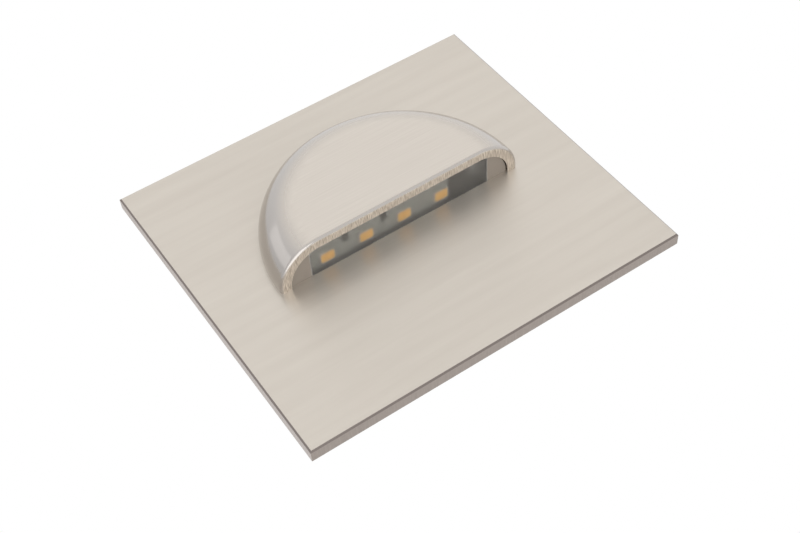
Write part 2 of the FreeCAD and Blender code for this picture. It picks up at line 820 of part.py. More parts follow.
# ---------------------------------------------------------------- driver board
def make_driver_board():
    body = new_body("driver_board")
    outline = new_sketch(body, "front", "driver_back")
    draw_rectangle(outline, "-driver_half", "-driver_top", "driver_half", "driver_top")
    slab = pad(body, outline, "driver_thick")
    dress(body, "Fillet", slab, runs_out, Radius="driver_corner")
    carrier_holes(body, "driver_back", "driver_thick")


def pan_screws(body, centres, seat, bite):
    """Pan-head screws with key sockets; heads lie inwards of seat, threads go outwards."""
    pad_circles(body, seat, centres, "thread_radius", bite)
    top = f"({seat} - pan_head_thick)"
    heads = pad_circles(body, top, centres, "pan_head_radius", "pan_head_thick")
    level, width = number(top), number("2 * pan_head_radius")
    dress(body, "Fillet", heads,
          lambda edge: lies_out(edge, level) and abs(edge.BoundBox.XLength - width) < 1e-3,
          Radius="pan_head_round")
    pad_circles(body, top, centres, "hex_key", "hex_key_depth", cut=True)


def make_board_screws():
    body = new_body("board_screws")
    pan_screws(body, CARRIER_STUDS, "driver_back", "driver_thick + board_screw_bite")


def make_coil():
    """Drum inductor: a ferrite bobbin and, between its flanges, the winding."""
    core = new_body("coil_core")
    at = ("coil_x", "coil_level")
    top = "driver_back - coil_core_height"
    for base in (top, "driver_back - coil_flange"):
        post(core, *at, base, "coil_radius", "coil_flange")
    post(core, *at, top, "coil_drum_radius", "coil_core_height")
    winding = new_body("coil_winding")
    room = "coil_core_height - 2 * coil_flange"
    post(winding, *at, f"{top} + coil_flange", "coil_radius - coil_wire_setback", room)
    drill(winding, *at, f"{top} + coil_flange", "coil_drum_radius", room)


def make_capacitor():
    """Electrolytic can with a rolled groove near its base."""
    body = new_body("capacitor")
    profile = new_sketch(body, "side")
    attach(profile, body, "side", ("-driver_back", "capacitor_level", "capacitor_x"))
    groove, foot = "capacitor_groove", "capacitor_groove_height"
    draw(profile, [("0", "0"), ("0", "capacitor_radius"), (f"{foot} - {groove}", "capacitor_radius"),
                   (foot, f"capacitor_radius - {groove}"), (f"{foot} + {groove}", "capacitor_radius"),
                   (f"capacitor_height - {groove}", "capacitor_radius"),
                   ("capacitor_height", f"capacitor_radius - {groove}"), ("capacitor_height", "0")])
    revolve(body, profile)


def make_driver_chip():
    """Driver chip with four legs on each long side."""
    body = new_body("driver_chip")
    block(body, "chip_x - chip_length / 2", "chip_level - chip_width / 2", "driver_back - chip_thick",
          "chip_length", "chip_width", "chip_thick - chip_lift")
    for leg in (-1.5, -0.5, 0.5, 1.5):
        block(body, f"chip_x + {leg} * chip_leg_pitch - chip_leg_width / 2",
              "chip_level - chip_width / 2 - chip_leg_length", "driver_back - chip_leg_thick",
              "chip_leg_width", "chip_width + 2 * chip_leg_length", "chip_leg_thick")


def make_driver_resistors():
    """Five chip resistors; their places are shares of the board's half width and half height."""
    body = new_body("driver_resistors")
    for across, up in ((-0.38, 0.73), (0.24, 0.73), (-0.21, 0.35), (0.24, -0.27), (0.21, -0.50)):
        block(body, f"{across} * driver_half", f"{up} * driver_top", "driver_back - chip_resistor_thick",
              "chip_resistor_length", "chip_resistor_width", "chip_resistor_thick")


def make_terminal_block():
    """Two-pole screw terminal for the supply cable."""
    body = new_body("terminal_block")
    outline = new_sketch(body, "front", "driver_back - terminal_height")
    draw_rectangle(outline, "terminal_x - terminal_length / 2", "-terminal_depth / 2",
                   "terminal_x + terminal_length / 2", "terminal_depth / 2")
    slab = pad(body, outline, "terminal_height")
    top, width = number("driver_back - terminal_height"), number("terminal_length")
    dress(body, "Chamfer", slab, lambda edge: lies_out(edge, top) and edge.BoundBox.XLength > width - 1e-3,
          Size="terminal_chamfer")
    for side in (-1, 1):
        x = f"(terminal_x + {side} * terminal_pitch / 2)"
        drill(body, x, "terminal_screw_level", "driver_back - terminal_height",
              "terminal_screw_radius + terminal_screw_play", "terminal_screw_sink + terminal_screw_length")
        block(body, f"{x} - terminal_mouth / 2", "-terminal_depth / 2",
              "driver_back - terminal_chamfer - terminal_mouth_height",
              "terminal_mouth", "terminal_mouth_height", "terminal_mouth_height", "SubtractiveBox")


def make_terminal_screws():
    body = new_body("terminal_screws")
    head = "driver_back - terminal_height + terminal_screw_sink"
    for side in (-1, 1):
        x = f"(terminal_x + {side} * terminal_pitch / 2)"
        post(body, x, "terminal_screw_level", head, "terminal_screw_radius", "terminal_screw_length")
        block(body, f"{x} - terminal_screw_radius", "terminal_screw_level - terminal_slot / 2", head,
              "2 * terminal_screw_radius", "terminal_slot", "terminal_slot", "SubtractiveBox")


# ---------------------------------------------------------------- housing and rear cover
def make_housing():
    """Die-cast cup with draft, flats for the clips, stud ears, cover bosses and cooling fins."""
    body = new_body("housing")
    profile = new_sketch(body, "side")
    draw(profile, [("-housing_front", "0"), ("-housing_front", "housing_radius"),
                   ("-housing_back", "housing_rear_radius"), ("-housing_back", "0")])
    revolve(body, profile)
    sides = new_sketch(body, "front", "housing_back")
    for sign in ("", "-"):
        near, far = f"{sign}housing_flat", f"{sign}(2 * housing_flat)"
        left, right = (near, far) if sign == "" else (far, near)
        draw_rectangle(sides, left, "-housing_radius", right, "housing_radius")
    pocket(body, sides, "housing_length")
    count = int(number("fin_count"))
    fins = new_sketch(body, "front", "housing_front - fin_length")
    for index in range(count):
        x = f"({index} - {(count - 1) / 2}) * fin_pitch"
        top = f"sqrt(housing_radius^2 - ({x})^2)"
        root, crest = f"{top} - housing_wall / 2", f"{top} + fin_height"
        draw_rectangle(fins, f"{x} - fin_thick / 2", root, f"{x} + fin_thick / 2", crest)
        draw_rectangle(fins, f"{x} - fin_thick / 2", f"-({crest})", f"{x} + fin_thick / 2", f"-({root})")
    pad(body, fins, "fin_length")
    cavity = new_sketch(body, "front", "housing_back")
    draw_flatted_circle(cavity, "bore_radius", "bore_flat")
    pocket(body, cavity, "housing_length")
    pad_circles(body, "ear_back", HOUSING_STUDS, "ear_radius", "ear_thick")
    pad_circles(body, "ear_back", HOUSING_STUDS, "clear_radius", "ear_thick", cut=True)
    pad_circles(body, "cover_boss_base", COVER_SCREWS, "cover_boss_radius", "cover_boss_length")
    pad_circles(body, "cover_boss_base", COVER_SCREWS, "tap_radius",
                "cover_boss_length - cover_boss_floor", cut=True)
    for base in ("clip_lug_gap / 2", "-clip_lug_gap / 2 - clip_lug_thick"):
        lugs = new_sketch(body, "top", base)
        for sign, turn in (("", 1), ("-", -1)):
            axis, root = f"{sign}clip_axis_x", f"{sign}(bore_flat + housing_wall / 2)"
            low, high = "clip_axis_depth - clip_lug_radius", "clip_axis_depth + clip_lug_radius"
            draw(lugs, [(root, low), (axis, low, "u"), (axis, high, "u"), (root, high)],
                 {1: (axis, "clip_axis_depth", "clip_lug_radius", turn)})
        pad(body, lugs, "clip_lug_thick")
        holes = new_sketch(body, "top", base)
        for sign in ("", "-"):
            draw_circle(holes, f"{sign}clip_axis_x", "clip_axis_depth", "clip_pin_radius + clip_pin_fit")
        pocket(body, holes, "clip_lug_thick")


def make_housing_seal():
    """Flat silicone ring under the housing's rim, with pads round the studs."""
    body = new_body("housing_seal")
    outline = new_sketch(body, "front", "housing_front")
    draw_flatted_circle(outline, "housing_radius", "housing_flat")
    draw_flatted_circle(outline, "bore_radius", "bore_flat")
    pad(body, outline, "housing_seal_thick")
    pad_circles(body, "housing_front", HOUSING_STUDS, "ear_radius", "housing_seal_thick")
    pad_circles(body, "housing_front", HOUSING_STUDS, "clear_radius", "housing_seal_thick", cut=True)


def make_cover_seal():
    body = new_body("cover_seal")
    outline = new_sketch(body, "front", "cover_front")
    draw_flatted_circle(outline, "housing_rear_radius", "housing_flat")
    draw_flatted_circle(outline, "bore_radius", "bore_flat")
    pad(body, outline, "cover_seal_thick")


def make_rear_cover():
    """Die-cast lid with a locating spigot and a raised seat for the gland."""
    body = new_body("rear_cover")
    outline = new_sketch(body, "front", "cover_back")
    draw_flatted_circle(outline, "housing_rear_radius", "housing_flat")
    pad(body, outline, "cover_thick")
    spigot = new_sketch(body, "front", "cover_front - cover_thick / 2")
    draw_flatted_circle(spigot, "bore_radius - cover_spigot_play", "bore_flat - cover_spigot_play")
    draw_flatted_circle(spigot, "bore_radius - cover_spigot_play - cover_spigot_wall",
                        "bore_flat - cover_spigot_play - cover_spigot_wall")
    pad(body, spigot, "cover_thick / 2 + cover_seal_thick + cover_spigot")
    post(body, "0", "0", "gland_seat", "cover_pad_radius", "cover_pad_thick + cover_thick / 2")
    holes = new_sketch(body, "front", "gland_seat")
    draw_circle(holes, "0", "0", "gland_thread_radius + gland_hole_play")
    for x, level in COVER_SCREWS:
        draw_circle(holes, x, level, "clear_radius")
    cut = pocket(body, holes, "cover_pad_thick + cover_thick + cover_seal_thick + cover_spigot")
    back, side = number("cover_back"), number("housing_flat")
    dress(body, "Fillet", cut,
          lambda edge: lies_out(edge, back) and max(edge.BoundBox.XMax, -edge.BoundBox.XMin) > side - 1e-4,
          Radius="cover_round")


def make_cover_screws():
    body = new_body("cover_screws")
    pan_screws(body, COVER_SCREWS, "cover_back",
               "cover_thick + cover_seal_thick + cover_boss_drop + cover_screw_bite")


# ---------------------------------------------------------------- cable gland
def make_gland_body():
    """Threaded sleeve with a spanner collar; the cable passes through it."""
    body = new_body("gland_body")
    threaded_hexagons(body, [("0", "0")], "gland_collar_back", "gland_flats", "gland_bore",
                      "gland_hex_thick")
    post(body, "0", "0", "gland_collar_front", "gland_thread_radius",
         "cover_front - gland_collar_front + gland_locknut_thick + gland_nut_gap")
    post(body, "0", "0", "gland_sleeve_end", "gland_upper_radius", "gland_upper_length")
    drill(body, "0", "0", "gland_sleeve_end", "gland_bore",
          "cover_front - gland_sleeve_end + gland_locknut_thick + gland_nut_gap")
    drill(body, "0", "0", "gland_sleeve_end", "gland_seal_bore + gland_seal_wall",
          "gland_seal_length - gland_seal_proud")


def make_gland_ring():
    """O-ring under the collar."""
    body = new_body("gland_ring")
    primitive(body, "AdditiveTorus", "front", ("0", "0", "gland_seat - gland_ring_radius"),
              Radius1="gland_thread_radius + gland_ring_radius + hole_play", Radius2="gland_ring_radius")


def make_gland_locknut():
    body = new_body("gland_locknut")
    threaded_hexagons(body, [("0", "0")], "cover_front", "gland_locknut_flats",
                      "gland_thread_radius + thread_play", "gland_locknut_thick")


def make_gland_seal():
    """Rubber sleeve that the dome nut squeezes onto the cable."""
    body = new_body("gland_seal")
    outline = new_sketch(body, "front", "gland_seal_end")
    draw_circle(outline, "0", "0", "gland_seal_bore + gland_seal_wall - thread_play")
    draw_circle(outline, "0", "0", "gland_seal_bore")
    pad(body, outline, "gland_seal_length")


def make_gland_nut():
    """Dome nut: a grooved skirt, a rounded nose and a mouth for the cable."""
    body = new_body("gland_nut")
    profile = new_sketch(body, "side")
    outer = "gland_upper_radius + gland_nut_wall"
    inner = "gland_upper_radius + thread_play"
    throat = "gland_seal_bore + gland_seal_wall"
    shoulder = "-gland_nut_end - gland_nut_nose"
    top = "-gland_nut_end - gland_nut_length"
    draw(profile, [("-gland_nut_end", "gland_nut_mouth"), ("-gland_nut_end", "gland_nut_mouth + gland_nut_lip"),
                   (shoulder, outer), (top, outer), (top, inner), ("-gland_sleeve_end", inner),
                   ("-gland_sleeve_end", throat), ("-gland_seal_end", throat),
                   ("-gland_seal_end", "gland_nut_mouth")])
    revolve(body, profile)
    grooves = new_sketch(body, "front", "gland_nut_end")
    reach = f"({outer} + gland_groove_radius - gland_groove_depth)"
    for turn in range(6):
        draw_circle(grooves, f"{reach} * cos({60 * turn + 30})", f"{reach} * sin({60 * turn + 30})",
                    "gland_groove_radius")
    pocket(body, grooves, "gland_nut_length - gland_groove_stop")


# ---------------------------------------------------------------- spring clips
def make_clip_arm(label, side):
    """Stamped arm with two pierced ears and a rolled tip, at rest against its heel."""
    body = new_body(label)
    half = "(clip_lug_gap / 2 - clip_side_play)"
    back, front = "clip_back", "clip_front"
    profile = new_sketch(body, "top", f"-{half}")
    curl = "clip_arm_length - clip_curl_radius"
    corners = [
        ("-clip_heel", front),
        (curl, front, "u"),
        ("clip_arm_length", f"{front} + clip_curl_radius", "v"),
        ("clip_arm_length - clip_sheet", f"{front} + clip_curl_radius", "v"),
        (curl, back, "u"),
        ("-clip_heel", back),
    ]
    arcs = {1: (curl, f"{front} + clip_curl_radius", "clip_curl_radius", 1),
            3: (curl, f"{front} + clip_curl_radius", "clip_curl_radius - clip_sheet", -1)}
    draw(profile, corners, arcs)
    pad(body, profile, f"2 * {half}")
    for base in (f"{half} - clip_sheet", f"-{half}"):
        post(body, "0", "0", base, "clip_ear_radius", "clip_sheet", "top")
        primitive(body, "AdditiveBox", "top", ("-clip_heel", front, base),
                  Length="clip_heel + clip_ear_radius", Width="-clip_front", Height="clip_sheet")
        drill(body, "0", "0", base, "clip_pin_radius + clip_pin_play", "clip_sheet", "top")
    turn = Rotation(Vector(0, 0, 1), -number("clip_rest_angle"))
    if side < 0:
        turn = Rotation(Vector(0, 1, 0), 180) * turn
    body.Placement = Placement(Vector(), turn)
    bind(body, **{".Placement.Base.x": f"{side} * clip_axis_x", ".Placement.Base.y": "clip_axis_depth"})


def make_clip_pin(label, side):
    """Headed pin, peened over below the lower lug."""
    body = new_body(label)
    at = (f"{side} * clip_axis_x", "clip_axis_depth")
    low = "-clip_lug_gap / 2 - clip_lug_thick"
    post(body, *at, f"{low} - clip_pin_head_thick", "clip_pin_radius",
         "clip_lug_gap + 2 * clip_lug_thick + clip_pin_head_thick", "top")
    post(body, *at, "clip_lug_gap / 2 + clip_lug_thick", "clip_pin_head", "clip_pin_head_thick", "top")
    post(body, *at, f"{low} - clip_pin_head_thick / 2", "clip_pin_radius + clip_pin_peen",
         "clip_pin_head_thick / 2", "top")


def biarc(start, leave, end, arrive):
    """Two tangent arcs from start to end with the given directions."""
    chord = end - start
    sum_way = leave + arrive
    square = 2 * (1 - leave.dot(arrive))
    along = chord.dot(sum_way)
    reach = (-along + math.sqrt(along ** 2 + square * chord.dot(chord))) / square
    first = start + leave * reach
    last = end - arrive * reach
    joint = (first + last) * 0.5
    edges = []
    for a, way, b in ((start, leave, joint), (joint, (last - first).normalize(), end)):
        middle_chord = b - a
        normal = way.cross(middle_chord).cross(way).normalize()
        radius = middle_chord.dot(middle_chord) / (2 * middle_chord.dot(normal))
        centre = a + normal * radius
        middle = centre + ((a - centre) + (b - centre)).normalize() * radius
        edges.append(Part.Arc(a, middle, b).toShape())
    return edges


def make_clip_spring(label, side):
    """Torsion spring: a close coil on the pin, one leg on the housing and one under the arm."""
    radius, wire = number("spring_mean_radius"), number("spring_wire")
    pitch, leg = number("spring_pitch"), number("spring_leg")
    rest = math.radians(number("clip_rest_angle"))
    first = math.pi                      # leaves the housing side of the coil
    last = -math.pi / 2 - rest           # meets the arm square to its sheet
    sweep = 2 * math.pi * number("spring_turns") + (last - first) % (2 * math.pi)
    climb = pitch / (2 * math.pi)
    height = climb * sweep

    def point(angle):
        return Vector(radius * math.cos(first + angle), radius * math.sin(first + angle),
                      climb * angle - height / 2)

    def way(angle):
        tangent = Vector(-radius * math.sin(first + angle), radius * math.cos(first + angle), climb)
        return tangent.normalize()

    steps = math.ceil(sweep / (math.pi / 2))
    angles = [sweep * step / steps for step in range(steps + 1)]
    edges = [Part.LineSegment(point(0) - way(0) * leg, point(0)).toShape()]
    for a, b in zip(angles, angles[1:]):
        edges += biarc(point(a), way(a), point(b), way(b))
    edges.append(Part.LineSegment(point(sweep), point(sweep) + way(sweep) * leg).toShape())
    path = Part.Wire(edges)
    start = path.Edges[0].valueAt(path.Edges[0].FirstParameter)
    circle = Part.Circle(start, way(0), wire / 2).toShape()
    coil = path.makePipeShell([Part.Wire([circle])], True, False)
    print(f"{label}: gap between turns {pitch - wire:.2f} mm")
    spring = document.addObject("Part::Feature", label)
    spring.Label = label
    spring.Shape = coil
    turn = Rotation() if side > 0 else Rotation(Vector(0, 1, 0), 180)
    spring.Placement = Placement(
        Vector(side * number("clip_axis_x"), number("clip_axis_depth"), 0), turn)


def make_clips():
    for name, side in (("left", -1), ("right", 1)):
        make_clip_arm(f"clip_arm_{name}", side)
        make_clip_pin(f"clip_pin_{name}", side)
        make_clip_spring(f"clip_spring_{name}", side)


# ---------------------------------------------------------------- build, check and write
for make in (make_face_plate, make_weld_studs, make_wall_gasket, make_hood, make_hood_screws,
             make_lens, make_carrier_seal, make_led_carrier, make_led_board, make_led_packages,
             make_led_windows, make_led_resistors, make_lead_plug, make_led_leads,
             make_housing_washers, make_housing_nuts, make_standoffs, make_driver_board,
             make_board_screws, make_coil, make_capacitor, make_driver_chip, make_driver_resistors,
             make_terminal_block, make_terminal_screws, make_housing, make_housing_seal,
             make_cover_seal, make_rear_cover, make_cover_screws, make_gland_body, make_gland_ring,
             make_gland_locknut, make_gland_seal, make_gland_nut, make_clips):
    make()
document.recompute()

for item in document.Objects:
    if {"Invalid", "Error"} & set(item.State):
        raise RuntimeError(f"{item.Name} did not compute: {item.State}")
pieces = [item for item in document.Objects
          if item.TypeId == "PartDesign::Body" or item.TypeId == "Part::Feature"]
for piece in pieces:
    if piece.Shape.isNull() or not piece.Shape.isValid():
        raise RuntimeError(f"{piece.Label} has no sound shape")

os.makedirs("parts", exist_ok=True)
for piece in pieces:
    piece.Shape.exportStep(f"parts/{piece.Label}.step")
    print(f"{piece.Label}: {len(piece.Shape.Solids)} solids, {piece.Shape.Volume:.1f} mm3")
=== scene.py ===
import math

import bmesh
import bpy
from mathutils import Matrix, Vector


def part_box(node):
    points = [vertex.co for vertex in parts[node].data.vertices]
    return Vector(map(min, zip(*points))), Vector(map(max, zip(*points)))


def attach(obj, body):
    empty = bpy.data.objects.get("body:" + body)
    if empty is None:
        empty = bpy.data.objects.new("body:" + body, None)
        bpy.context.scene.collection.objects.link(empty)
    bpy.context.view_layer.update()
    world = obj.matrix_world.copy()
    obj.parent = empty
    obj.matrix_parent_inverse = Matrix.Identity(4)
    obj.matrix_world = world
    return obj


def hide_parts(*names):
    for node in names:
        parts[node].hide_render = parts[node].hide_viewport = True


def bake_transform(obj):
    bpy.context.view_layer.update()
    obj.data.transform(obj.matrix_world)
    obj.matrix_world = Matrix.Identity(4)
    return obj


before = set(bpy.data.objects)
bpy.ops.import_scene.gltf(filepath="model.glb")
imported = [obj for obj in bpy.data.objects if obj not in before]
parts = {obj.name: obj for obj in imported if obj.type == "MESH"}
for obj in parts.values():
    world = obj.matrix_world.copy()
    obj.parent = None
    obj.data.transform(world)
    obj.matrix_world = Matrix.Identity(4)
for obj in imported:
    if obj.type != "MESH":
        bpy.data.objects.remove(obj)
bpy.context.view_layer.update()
MM = 0.001

# ---------------------------------------------------------------------------------------------------
# Face plate. A 3 mm sheet of stainless steel, cut by laser and brushed along its width with a fine
# belt, so its front has faint hairlines and a soft, wide reflection. Its cut edges are left as the laser
# leaves them, ribbed across the sheet, and are darker, partly as painted shade.

def linear(text):
    """An sRGB hex colour as linear red, green, blue and alpha."""
    values = [int(text[i:i + 2], 16) / 255 for i in (1, 3, 5)]
    return [v / 12.92 if v <= 0.04045 else ((v + 0.055) / 1.055) ** 2.4 for v in values] + [1.0]


def per_mm(*sizes):
    """Scale of a pattern whose grain has these sizes in millimetres along X, Y and Z."""
    return [1 / (size * MM) for size in sizes]


def add(tree, kind, settings=None, links=None):
    """Adds a node, gives it its settings, and joins its inputs to other nodes' outputs."""
    node = tree.nodes.new(kind)
    for name, value in (settings or {}).items():
        if isinstance(name, str) and hasattr(node, name):
            setattr(node, name, value)
        else:
            node.inputs[name].default_value = value
    for name, source in (links or {}).items():
        tree.links.new(source, node.inputs[name])
    return node


def new_material(name):
    """An empty material and its tree."""
    material = bpy.data.materials.new(name)
    material.use_nodes = True
    material.node_tree.nodes.clear()
    return material, material.node_tree


def show(tree, shader):
    add(tree, "ShaderNodeOutputMaterial", {}, {"Surface": shader.outputs[0]})


def dress(material, *nodes):
    """Gives CAD pieces their finish."""
    for node in nodes:
        parts[node].data.materials.clear()
        parts[node].data.materials.append(material)


# Hairlines run along the width. Real ones are about 0.05 mm apart; 0.3 mm is the finest that shows.
brushed_sheet, tree = new_material("stainless sheet, belt brushed")
place = add(tree, "ShaderNodeTexCoord")
along = add(tree, "ShaderNodeMapping", {"Scale": per_mm(18, 0.3, 0.3)}, {"Vector": place.outputs["Object"]})
hairs = add(tree, "ShaderNodeTexNoise", {"Scale": 1.0, "Detail": 3.0, "Roughness": 0.6},
            {"Vector": along.outputs[0]})
# The belt's wider passes leave bands a few millimetres wide and tens of millimetres long.
passes = add(tree, "ShaderNodeMapping", {"Scale": per_mm(38, 2.6, 2.6)}, {"Vector": place.outputs["Object"]})
bands = add(tree, "ShaderNodeTexNoise", {"Scale": 1.0, "Detail": 3.0, "Roughness": 0.6},
            {"Vector": passes.outputs[0]})
tint = add(tree, "ShaderNodeMix", {"data_type": "RGBA", "A": linear("#cfc7bd"), "B": linear("#dcd5cb")},
           {"Factor": bands.outputs["Fac"]})
streak = add(tree, "ShaderNodeMapRange", {"From Min": 0.25, "From Max": 0.75, "To Min": 0.985, "To Max": 1.0},
             {"Value": hairs.outputs["Fac"]})
hair_tint = add(tree, "ShaderNodeMix", {"data_type": "RGBA", "blend_type": "MULTIPLY", "Factor": 1.0},
                {"A": tint.outputs["Result"], "B": streak.outputs[0]})
facing = add(tree, "ShaderNodeSeparateXYZ", {}, {"Vector": place.outputs["Normal"]})
# Where the surface turns away from the sheet's faces it is first the broken edge, then the cut.
flat = add(tree, "ShaderNodeMath", {"operation": "ABSOLUTE"}, {0: facing.outputs["Y"]})
edge = add(tree, "ShaderNodeMapRange", {"From Min": 0.95, "From Max": 0.80}, {"Value": flat.outputs[0]})
# The broken edge is tinted darker than the cut: painted shade.
broken_edge_shade = add(tree, "ShaderNodeMapRange", {"From Min": 0.2, "From Max": 0.6}, {"Value": flat.outputs[0]})
ribs = add(tree, "ShaderNodeMapping", {"Scale": per_mm(0.25, 4, 0.25)}, {"Vector": place.outputs["Object"]})
rib_noise = add(tree, "ShaderNodeTexNoise", {"Scale": 1.0, "Detail": 2.0}, {"Vector": ribs.outputs[0]})
# The cut's darker tints are partly the laser's own colour and partly painted shade.
cut_tint = add(tree, "ShaderNodeMix", {"data_type": "RGBA", "A": linear("#9d948e"), "B": linear("#b5aba5")},
               {"Factor": rib_noise.outputs["Fac"]})
edge_tint = add(tree, "ShaderNodeMix", {"data_type": "RGBA", "B": linear("#8c837f")},
                {"Factor": broken_edge_shade.outputs[0], "A": cut_tint.outputs["Result"]})
colour = add(tree, "ShaderNodeMix", {"data_type": "RGBA"},
             {"Factor": edge.outputs[0], "A": hair_tint.outputs["Result"], "B": edge_tint.outputs["Result"]})
rough = add(tree, "ShaderNodeMapRange", {"From Min": 0.3, "From Max": 0.7, "To Min": 0.36, "To Max": 0.40},
            {"Value": hairs.outputs["Fac"]})
relief = add(tree, "ShaderNodeMix", {"data_type": "FLOAT"},
             {"Factor": edge.outputs[0], "A": hairs.outputs["Fac"], "B": rib_noise.outputs["Fac"]})
bump = add(tree, "ShaderNodeBump", {"Strength": 0.04, "Distance": 0.006 * MM},
           {"Height": relief.outputs["Result"]})
# The hairlines spread the light across themselves, up and down the plate.
spread = add(tree, "ShaderNodeCombineXYZ", {"Z": 1.0})
steel = add(tree, "ShaderNodeBsdfPrincipled", {"Metallic": 1.0, "Anisotropic": 0.8},
            {"Base Color": colour.outputs["Result"], "Roughness": rough.outputs[0], "Normal": bump.outputs[0],
             "Tangent": spread.outputs[0]})
show(tree, steel)
dress(brushed_sheet, "face_plate")

# ---------------------------------------------------------------------------------------------------
# Weld studs and small fasteners. Cold-formed stainless steel, barrel finished: plain, grey and a
# little uneven, with no direction in it.

def two_tone(name, dark, light, grain, roughness, relief, shader):
    """A finish in two tones that change with a grain of the given sizes in mm, which also gives relief."""
    material, tree = new_material(name)
    place = add(tree, "ShaderNodeTexCoord")
    scaled = add(tree, "ShaderNodeMapping", {"Scale": per_mm(*grain)}, {"Vector": place.outputs["Object"]})
    noise = add(tree, "ShaderNodeTexNoise", {"Scale": 1.0, "Detail": 3.0, "Roughness": 0.55},
                {"Vector": scaled.outputs[0]})
    tint = add(tree, "ShaderNodeMix", {"data_type": "RGBA", "A": linear(dark), "B": linear(light)},
               {"Factor": noise.outputs["Fac"]})
    rough = add(tree, "ShaderNodeMapRange", {"From Min": 0.3, "From Max": 0.7,
                                             "To Min": roughness - 0.04, "To Max": roughness + 0.04},
                {"Value": noise.outputs["Fac"]})
    bump = add(tree, "ShaderNodeBump", {"Strength": 1.0, "Distance": relief * MM},
               {"Height": noise.outputs["Fac"]})
    body = add(tree, "ShaderNodeBsdfPrincipled", shader,
               {"Base Color": tint.outputs["Result"], "Roughness": rough.outputs[0], "Normal": bump.outputs[0]})
    show(tree, body)
    return material


plain_steel = two_tone("stainless fastener, cold formed", "#8f8a85", "#b7b2ac", (0.6, 0.6, 0.6), 0.30, 0.004,
                       {"Metallic": 1.0})
dress(plain_steel, "weld_studs")

# ---------------------------------------------------------------------------------------------------
# Wall gasket. Closed-cell EPDM foam, die cut from sheet and stuck to the back of the plate. Its skin
# is matte and full of small pits.

foam, tree = new_material("EPDM foam, closed cell, die cut")
place = add(tree, "ShaderNodeTexCoord")
cells = add(tree, "ShaderNodeTexVoronoi", {"feature": "DISTANCE_TO_EDGE", "Scale": 1 / (0.7 * MM)},
            {"Vector": place.outputs["Object"]})
pits_and_pit_shade = add(tree, "ShaderNodeMapRange", {"From Min": 0.0, "From Max": 0.25},
           {"Value": cells.outputs["Distance"]})
# The pits are tinted darker than the skin between them: painted shade.
tint = add(tree, "ShaderNodeMix", {"data_type": "RGBA", "A": linear("#2b2b2c"), "B": linear("#19191a")},
           {"Factor": pits_and_pit_shade.outputs[0]})
bump = add(tree, "ShaderNodeBump", {"Strength": 0.8, "Distance": 0.15 * MM, "invert": True},
           {"Height": pits_and_pit_shade.outputs[0]})
skin = add(tree, "ShaderNodeBsdfPrincipled", {"Roughness": 0.85, "IOR": 1.47, "Sheen Weight": 0.15},
           {"Base Color": tint.outputs["Result"], "Normal": bump.outputs[0]})
show(tree, skin)
dress(foam, "wall_gasket")

# ---------------------------------------------------------------------------------------------------
# Hood. Turned from stainless bar as a flat-topped cup and sawn off below its centre. The turned side
# is polished, the flat top is brushed like the plate, and the sawn rim keeps slanting tooth marks.

cup_steel, tree = new_material("stainless cup, turned, polished and sawn")
place = add(tree, "ShaderNodeTexCoord")
facing = add(tree, "ShaderNodeSeparateXYZ", {}, {"Vector": place.outputs["Normal"]})
top = add(tree, "ShaderNodeMapRange",
          {"interpolation_type": "SMOOTHSTEP", "From Min": -0.80, "From Max": -0.999},
          {"Value": facing.outputs["Y"]})
rim = add(tree, "ShaderNodeMapRange", {"From Min": -0.9, "From Max": -0.99}, {"Value": facing.outputs["Z"]})
along = add(tree, "ShaderNodeMapping", {"Scale": per_mm(18, 0.3, 0.3)}, {"Vector": place.outputs["Object"]})
hairs = add(tree, "ShaderNodeTexNoise", {"Scale": 1.0, "Detail": 3.0, "Roughness": 0.6},
            {"Vector": along.outputs[0]})
# Tooth marks slant across the rim, about 0.15 mm apart and 2 mm long.
slant = add(tree, "ShaderNodeMapping",
            {"Rotation": (0, 0, math.radians(-24)), "Scale": per_mm(0.14, 2.2, 0.5)},
            {"Vector": place.outputs["Object"]})
teeth = add(tree, "ShaderNodeTexNoise", {"Scale": 1.0, "Detail": 1.0, "Roughness": 0.5},
            {"Vector": slant.outputs[0]})
tooth_step = add(tree, "ShaderNodeMapRange", {"From Min": 0.40, "From Max": 0.60},
                 {"Value": teeth.outputs["Fac"]})
# The rim's tones are paler than the rest of the steel: painted highlight over the real tooth marks.
rim_marks_and_highlight = add(tree, "ShaderNodeMix", {"data_type": "RGBA", "A": linear("#cfc5ba"), "B": linear("#fbf3e9")},
               {"Factor": tooth_step.outputs[0]})
brushed_top = add(tree, "ShaderNodeMix",
                  {"data_type": "RGBA", "A": linear("#c8c0b7"), "B": linear("#d9d2c9")},
                  {"Factor": hairs.outputs["Fac"]})
side_tint = add(tree, "ShaderNodeMix", {"data_type": "RGBA", "A": linear("#c6c1bd")},
                {"Factor": top.outputs[0], "B": brushed_top.outputs["Result"]})
colour = add(tree, "ShaderNodeMix", {"data_type": "RGBA"},
             {"Factor": rim.outputs[0], "A": side_tint.outputs["Result"], "B": rim_marks_and_highlight.outputs["Result"]})
satin = add(tree, "ShaderNodeMix", {"data_type": "FLOAT", "A": 0.17, "B": 0.30}, {"Factor": top.outputs[0]})
rough = add(tree, "ShaderNodeMix", {"data_type": "FLOAT", "B": 0.46},
            {"Factor": rim.outputs[0], "A": satin.outputs["Result"]})
fine = add(tree, "ShaderNodeMath", {"operation": "MULTIPLY", 1: 0.1}, {0: hairs.outputs["Fac"]})
relief = add(tree, "ShaderNodeMix", {"data_type": "FLOAT"},
             {"Factor": rim.outputs[0], "A": fine.outputs[0], "B": tooth_step.outputs[0]})
bump = add(tree, "ShaderNodeBump", {"Strength": 0.12, "Distance": 0.04 * MM},
           {"Height": relief.outputs["Result"]})
